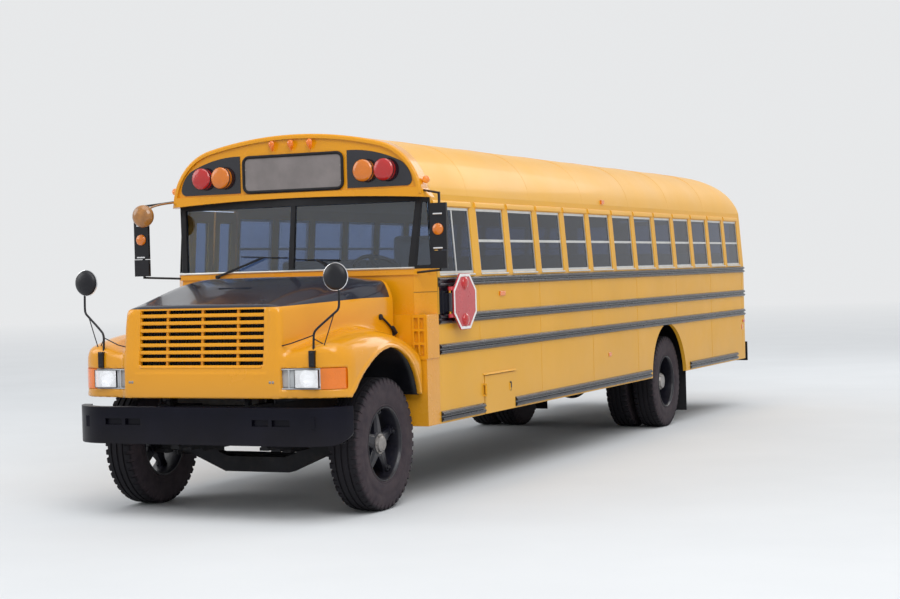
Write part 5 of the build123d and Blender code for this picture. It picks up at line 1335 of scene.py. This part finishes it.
def hood_slot():
    """The narrow slot on top of the hood, in two halves."""
    bm = bmesh.new()
    for x in (-0.075, 0.075):
        hit = hood_tree.ray_cast(Vector((x, -4.98, 3)), Vector((0, 0, -1)))
        z = hit[0].z
        box(bm, (x - 0.068, -4.990, z - 0.003), (x + 0.068, -4.966, z + 0.003))
    make("hood_slot", "hood", "rubber", bm)


def grille_edge():
    """A raised border round the lower half of the grille panel."""
    half = [(0.48, 1.143), (0.525, 1.150), (0.54, 1.19), (0.54, 1.30)]
    path = [*[(-x, 0, z) for x, z in half[::-1]], (0.0, 0, 1.143), *[(x, 0, z) for x, z in half]]
    points = []
    for point in smooth_line(path, 6):
        hit = hood_tree.ray_cast(Vector((point.x, -7, point.z)), Vector((0, 1, 0)))
        if hit[0]:
            points.append((point.x, hit[0].y - 0.0005, point.z))
    bm = bmesh.new()
    rod(bm, points, 0.0045, 8)
    make("grille_edge", "hood", "yellow_lit_front", bm)


def stop_bracket():
    """The stop arm's bracket, with a cover over its hinge."""
    bm = bmesh.new()
    box(bm, (HALF - 0.001, -3.818, 1.474), (HALF + 0.0150, -3.732, 1.656))
    box(bm, (HALF, -3.7638, 1.4895), (1.266, -3.7462, 1.6405))
    disc(bm, (1.266, -3.755, 1.4895), (0, 0, 1), [(0, 0), (0, 0.0166), (0.151, 0.0166), (0.151, 0)], 24)
    make("stop_bracket", "chassis", "black_gloss", bm, bevel=0.002)


def bumper_backing():
    """Dark plates behind the slots of the bumper."""
    bm = bmesh.new()
    for side in (1, -1):
        box(bm, (side * 0.40, -5.576, 0.700), (side * 1.00, -5.572, 0.784))
    make("bumper_backing", "chassis", "bumper_black", bm)


def trimmed_dashboard():
    """The dashboard with its front corners cut along the cowl's slanted panels."""
    bm = bmesh.new()
    bm.from_mesh(nodes["dashboard"].data)
    bmesh.ops.remove_doubles(bm, verts=bm.verts, dist=2e-5)
    for side in (1, -1):
        cut = bmesh.ops.bisect_plane(bm, geom=[*bm.verts, *bm.edges, *bm.faces], clear_outer=True,
                                     plane_co=(side * 1.072, -4.036, 0), plane_no=(side * 0.758, -0.651, 0))
        edges = [item for item in cut["geom_cut"] if isinstance(item, bmesh.types.BMEdge)]
        bmesh.ops.holes_fill(bm, edges=edges)
    make("dashboard_trimmed", "chassis", "dark_plastic", bm, angle=30, stands_for="dashboard")


def marker_lenses():
    """Lamps along the sides, at the corners and on the back."""
    amber = bmesh.new()
    red = bmesh.new()
    corner = bmesh.new()
    tail = bmesh.new()
    for side in (1, -1):
        box(amber, (side * (HALF - 0.002), -2.620, 1.590), (side * (HALF + 0.012), -2.500, 1.630))
        box(amber, (side * (HALF - 0.002), 0.180, 0.905), (side * (HALF + 0.008), 0.260, 0.945))
        x = wall_x(2.47)
        box(amber, (side * (x - 0.004), 0.180, 2.450), (side * (x + 0.018), 0.260, 2.490))
        box(red, (side * (HALF - 0.002), 5.326, 1.060), (side * (HALF + 0.012), 5.406, 1.090))
        disc(corner, (side * 1.184, -3.972, 2.553), (side * 0.45, -1, 0),
             [(-0.020, 0.030), (0.004, 0.030), (0.014, 0.026), (0.022, 0.016), (0.025, 0)], 28)
        disc(tail, (side * 1.040, REAR_FACE, 1.180), (0, 1, 0),
             [(-0.002, 0.090), (0.022, 0.090), (0.030, 0.080), (0.035, 0.050), (0.037, 0)], 40)
    for x in (-0.178, 0, 0.178):
        box(red, (x - 0.040, REAR_FACE - 0.002, 2.740), (x + 0.040, REAR_FACE + 0.020, 2.770))
    make("amber_markers", "chassis", "amber_lens", amber, bevel=0.005, segments=3, stands_for="amber_lamps")
    make("red_markers", "chassis", "red_lens", red, bevel=0.005, segments=3, stands_for="red_lamps")
    make("corner_lamps", "chassis", "amber_lens", corner, angle=50)
    make("tail_lamps", "chassis", "red_lens", tail, angle=50)


def rear_fittings():
    """Handles and hinges of the rear emergency door."""
    handles = bmesh.new()
    grip = [(0.340, 5.500, 1.500), (0.340, 5.532, 1.500), (0.340, 5.532, 1.640), (0.340, 5.500, 1.640)]
    rod(handles, smooth_line(grip, 4), 0.009, 10)
    rod(handles, [(0.180, 5.500, 1.560), (0.180, 5.524, 1.560), (0.290, 5.524, 1.560)], 0.008, 10)
    make("emergency_handles", "emergency_door", "steel", handles, angle=40)
    fixed = bmesh.new()
    moving = bmesh.new()
    for z in (1.18, 1.70, 2.22):
        box(fixed, (-0.550, 5.4845, z - 0.045), (-0.486, 5.4885, z + 0.045))
        box(moving, (-0.400, 5.4995, z - 0.045), (-0.324, 5.5035, z + 0.045))
    make("hinge_plates", "chassis", "steel", fixed, bevel=0.001)
    make("hinge_leaves", "emergency_door", "steel", moving, bevel=0.001)


def entrance_fittings():
    """Rubber edges where the two door leaves meet, and the grab handle."""
    for name, first, last in (("entrance_front", -3.430, -3.419), ("entrance_rear", -3.411, -3.400)):
        edge = bmesh.new()
        box(edge, (-1.2380, first, 0.452), (-1.2100, last, 2.380))
        make(f"{name}_edge", name, "rubber", edge, bevel=0.002)
    bm = bmesh.new()
    grip = [(-1.219, 1.250), (-1.252, 1.262), (-1.252, 1.560), (-1.219, 1.572)]
    rod(bm, smooth_line([(x, -2.930, z) for x, z in grip], 5), 0.010, 10)
    make("grab_handle", "chassis", "aluminium", bm, angle=40)


cowl_corners()
headlamps()
hood_latches()
hood_slot()
grille_edge()
stop_bracket()
bumper_backing()
trimmed_dashboard()
marker_lenses()
rear_fittings()
entrance_fittings()


# Seats: padded cushions and backs on steel legs, each cushion its own object.
PINCH = 0.010


def pad_form(name, size, crown, steps=(22, 10, 4)):
    """A crowned closed pad whose sides pull in between its corners, as a mesh of quads."""
    nx, ny, nz = steps
    bm = bmesh.new()
    grid = {}

    def vert(i, j, k):
        key = (i, j, k)
        if key not in grid:
            u, v, w = 2 * i / nx - 1, 2 * j / ny - 1, 2 * k / nz - 1
            rounding = 1 - 0.030 * (u**8 * v**8) - 0.10 * (abs(u) ** 12) * (abs(w) ** 3)
            sx = size[0] / 2 * (1 - PINCH * 1.2 * (1 - v * v) * abs(u)) * (1 - 0.012 * w * w * abs(u) ** 6)
            sy = size[1] / 2 * (1 - PINCH * 2.0 * (1 - u * u) * abs(v)) * (1 - 0.050 * w * w * abs(v) ** 6)
            top = crown * (1 - u**4) * (1 - v**4)
            z = w * size[2] / 2 * (1 - 0.20 * (abs(u) ** 10 + abs(v) ** 10) / 2) + max(w, 0) * top
            grid[key] = bm.verts.new((u * sx * rounding, v * sy * rounding, z))
        return grid[key]

    def quad(a, b, c, d):
        bm.faces.new((vert(*a), vert(*b), vert(*c), vert(*d)))

    for i in range(nx):
        for j in range(ny):
            quad((i, j, nz), (i + 1, j, nz), (i + 1, j + 1, nz), (i, j + 1, nz))
            quad((i, j, 0), (i, j + 1, 0), (i + 1, j + 1, 0), (i + 1, j, 0))
        for k in range(nz):
            quad((i, 0, k), (i + 1, 0, k), (i + 1, 0, k + 1), (i, 0, k + 1))
            quad((i, ny, k), (i, ny, k + 1), (i + 1, ny, k + 1), (i + 1, ny, k))
    for j in range(ny):
        for k in range(nz):
            quad((0, j, k), (0, j, k + 1), (0, j + 1, k + 1), (0, j + 1, k))
            quad((nx, j, k), (nx, j + 1, k), (nx, j + 1, k + 1), (nx, j, k + 1))
    bmesh.ops.recalc_face_normals(bm, faces=bm.faces)
    mesh = bpy.data.meshes.new(name)
    bm.to_mesh(mesh)
    bm.free()
    return mesh


def puffed(mesh, limit=0.008):
    """The pad after 14 steps of cloth under pressure, with no point moved further than the limit."""
    scene = bpy.context.scene
    obj = bpy.data.objects.new("pad_trial", mesh)
    scene.collection.objects.link(obj)
    mod = obj.modifiers.new("cloth", "CLOTH")
    mod.settings.use_pressure = True
    mod.settings.uniform_pressure_force = 4
    mod.settings.effector_weights.gravity = 0
    mod.settings.quality = 4
    mod.point_cache.frame_start = 1
    mod.point_cache.frame_end = 14
    for frame_number in range(1, 15):
        scene.frame_set(frame_number)
    shape = obj.evaluated_get(bpy.context.evaluated_depsgraph_get())
    moved = [v.co.copy() for v in shape.data.vertices]
    bpy.data.objects.remove(obj)
    scene.frame_set(1)
    for vert, target in zip(mesh.vertices, moved):
        step = target - vert.co
        vert.co += step * min(1.0, limit / max(step.length, 1e-9))
    return mesh


def sewn(mesh, thickness, seams, depth=0.007, width=0.012):
    """Presses sewn channels across the pad's top at the given places along x."""
    for vert in mesh.vertices:
        press = sum(math.exp(-((vert.co.x - place) / width) ** 2) for place in seams)
        if vert.co.z > thickness * 0.2:
            vert.co.z -= depth * min(press, 1)
    return mesh


def pad(name, mesh, place, turn, stands_for=None):
    verts = [tuple(turn @ v.co) for v in mesh.vertices]
    faces = [tuple(p.vertices) for p in mesh.polygons]
    obj = make(name, "chassis", "vinyl", verts=verts, faces=faces, angle=70, at=place,
               stands_for=stands_for)
    mod = obj.modifiers.new("round", "SUBSURF")
    mod.levels = 1
    mod.render_levels = 1


def piping(bm, x, y, z):
    """A sewn edge cord level round a bench cushion."""
    radius, half_x, half_y = 0.05, 0.462, 0.200
    ring = []
    for sx, sy, start in ((1, 1, 0), (-1, 1, 90), (-1, -1, 180), (1, -1, 270)):
        for step in range(5):
            turn = math.radians(start + 22.5 * step)
            u = sx * (half_x - radius) + radius * math.cos(turn)
            v = sy * (half_y - radius) + radius * math.sin(turn)
            ring.append((x + u, y + v, z))
    rod(bm, [*ring, ring[0]], 0.004, 6)


def bench_frame(bm, x, y, side):
    """Legs, a foot, rails and back posts of one bench."""
    for leg in (y + 0.06, y + 0.376):
        box(bm, (x - side * 0.430, leg, 1.080), (x - side * 0.400, leg + 0.030, 1.402))
    box(bm, (x - side * 0.455, y + 0.04, 1.080), (x - side * 0.375, y + 0.43, 1.088))
    box(bm, (x - 0.440, y + 0.030, 1.388), (x + 0.440, y + 0.055, 1.406))
    box(bm, (x - 0.440, y + 0.365, 1.388), (x + 0.440, y + 0.390, 1.406))
    box(bm, (x + side * 0.430, y + 0.10, 1.388), (x + side * 0.499, y + 0.38, 1.398))
    for end in (-0.44, 0.44):
        rod(bm, [(x + end, y + 0.459, 1.395), (x + end, y + 0.459, 1.920)], 0.011, 8)


LEVEL = Matrix.Identity(3)
STANDING = Matrix.Rotation(math.radians(90), 3, "X")


def benches():
    seams = [-0.23, 0.0, 0.23]
    cushion = sewn(puffed(pad_form("cushion", (0.920, 0.400, 0.098), 0.016)), 0.098, seams)
    back = puffed(pad_form("back", (0.920, 0.530, 0.060), 0.007, (22, 12, 4)), 0.005)
    back = sewn(back, 0.060, seams, 0.005)
    frames = bmesh.new()
    cords = bmesh.new()
    for row in range(11):
        y = -2.730 + WINDOW_PITCH * row
        for side, name in ((1, "l"), (-1, "r")):
            x = side * 0.680
            first = row == 0 and side > 0
            pad(f"cushion_{name}{row}", cushion, (x, y + 0.206, 1.453), LEVEL, "seats" if first else None)
            pad(f"back_{name}{row}", back, (x, y + 0.459, 1.690), STANDING, "seat_backs" if first else None)
            piping(cords, x, y + 0.206, 1.495)
            bench_frame(frames, x, y, side)
    make("bench_frames", "chassis", "chassis_black", frames, bevel=0.002)
    make("bench_piping", "chassis", "vinyl", cords, angle=60)


def driver_seat():
    seams = [-0.12, 0.12]
    mesh = puffed(pad_form("driver_cushion", (0.470, 0.440, 0.110), 0.018, (12, 12, 4)))
    pad("driver_cushion", sewn(mesh, 0.110, seams), (0.620, -3.270, 1.500), LEVEL)
    mesh = puffed(pad_form("driver_back", (0.460, 0.630, 0.095), 0.014, (12, 14, 4)))
    pad("driver_back", sewn(mesh, 0.095, seams), (0.620, -2.985, 1.826), STANDING)
    bm = bmesh.new()
    disc(bm, (0.620, -3.270, 1.080), (0, 0, 1),
         [(0, 0.130), (0.010, 0.130), (0.016, 0.060), (0.200, 0.050), (0.300, 0.090), (0.335, 0.170),
          (0.350, 0.170)], 24)
    box(bm, (0.400, -3.480, 1.428), (0.840, -3.060, 1.446))
    make("driver_pedestal", "chassis", "chassis_black", bm, bevel=0.002)


benches()
driver_seat()


# Camera, floor and light
PHOTO_WIDTH = 900
FOCAL_PIXELS = 1761.9


def camera():
    """The camera solved from points of the bus in the photograph."""
    data = bpy.data.cameras.new("camera")
    data.sensor_width = 36
    data.lens = 36 * FOCAL_PIXELS / PHOTO_WIDTH
    data.clip_start = 0.1
    data.clip_end = 500
    obj = bpy.data.objects.new("camera", data)
    bpy.context.scene.collection.objects.link(obj)
    azimuth, elevation, roll = (math.radians(v) for v in (24.54, -0.958, -1.545))
    level = math.cos(elevation)
    ahead = Vector((-math.sin(azimuth) * level, math.cos(azimuth) * level, math.sin(elevation)))
    right = ahead.cross(Vector((0, 0, 1))).normalized()
    up = right.cross(ahead)
    across = right * math.cos(roll) + up * math.sin(roll)
    upward = up * math.cos(roll) - right * math.sin(roll)
    turn = Matrix((across, upward, -ahead)).transposed()
    obj.matrix_world = Matrix.Translation((7.1776, -16.7016, 1.8243)) @ turn.to_4x4()
    bpy.context.scene.camera = obj


def seen_rays(tree):
    """1 for camera, glossy and transmission rays."""
    path = tree.nodes.new("ShaderNodeLightPath").outputs
    seen = maths(tree, "MAXIMUM", path["Is Camera Ray"], path["Is Glossy Ray"])
    return maths(tree, "MAXIMUM", seen, path["Is Transmission Ray"])


def either(tree, share, first, second):
    """Mixes two shaders by a share socket."""
    pick = tree.nodes.new("ShaderNodeMixShader")
    for place, value in enumerate((share, first, second)):
        tree.links.new(value, pick.inputs[place])
    return pick.outputs[0]


PALE = (0.80, 0.81, 0.82)


def backdrop():
    """A pale world where it is seen, and a softer bluish one for light."""
    world = bpy.data.worlds.new("studio")
    bpy.context.scene.world = world
    world.use_nodes = True
    tree = world.node_tree
    shown = tree.nodes["Background"]
    soft = tree.nodes.new("ShaderNodeBackground")
    for node, colour, strength in ((shown, PALE, 1.0), (soft, (0.92, 0.96, 1.0), 0.62)):
        node.inputs["Color"].default_value = (*colour, 1)
        node.inputs["Strength"].default_value = strength
    out = either(tree, seen_rays(tree), soft.outputs[0], shown.outputs[0])
    tree.links.new(out, tree.nodes["World Output"].inputs["Surface"])


def studio_floor():
    """A grey floor that fades into the backdrop with distance."""
    bpy.ops.mesh.primitive_circle_add(vertices=96, radius=150, fill_type="NGON", location=(0, 0, 0))
    floor = bpy.context.object
    floor.name = "studio_floor"
    mat, tree, shader = principled("studio_floor")
    coords = object_coords(tree)
    cloud = spread(tree, noise(tree, coords, 0.6, 6.0), 0.3, 0.7, 0.0, 1.0)
    tree.links.new(mix(tree, cloud, (0.66, 0.67, 0.68), (0.69, 0.70, 0.71)), shader.inputs["Base Color"])
    shader.inputs["Roughness"].default_value = 0.8
    shader.inputs["Specular IOR Level"].default_value = 0.2
    far = spread(tree, length_of(tree, coords), 12.0, 60.0, 0.0, 1.0)
    glow = tree.nodes.new("ShaderNodeEmission")
    glow.inputs["Color"].default_value = (*PALE, 1)
    share = maths(tree, "MULTIPLY", far, seen_rays(tree))
    out = either(tree, share, shader.outputs[0], glow.outputs[0])
    tree.links.new(out, tree.nodes["Material Output"].inputs["Surface"])
    floor.data.materials.append(mat)


def lights():
    for name, kind, place, target, size, strength in (
        ("key", "AREA", (9.0, -13.0, 11.0), (0.0, -2.0, 1.2), 9.0, 900),
        ("fill", "AREA", (-12.0, -9.0, 8.0), (0.0, -1.0, 1.2), 9.0, 420),
        ("back", "AREA", (6.0, 13.0, 10.0), (0.0, 2.0, 1.5), 9.0, 420),
        ("sky", "SUN", (2.0, -3.0, 12.0), (0.0, 0.0, 0.0), 0.9, 1.1),
    ):
        data = bpy.data.lights.new(name, kind)
        data.energy = strength
        if kind == "AREA":
            data.shape = "DISK"
            data.size = size
        else:
            data.angle = size
        lamp = bpy.data.objects.new(name, data)
        bpy.context.scene.collection.objects.link(lamp)
        lamp.location = place
        lamp.rotation_mode = "QUATERNION"
        lamp.rotation_quaternion = (Vector(target) - Vector(place)).to_track_quat("-Z", "Y")


camera()
backdrop()
studio_floor()
lights()
bpy.context.scene.view_settings.view_transform = "Standard"
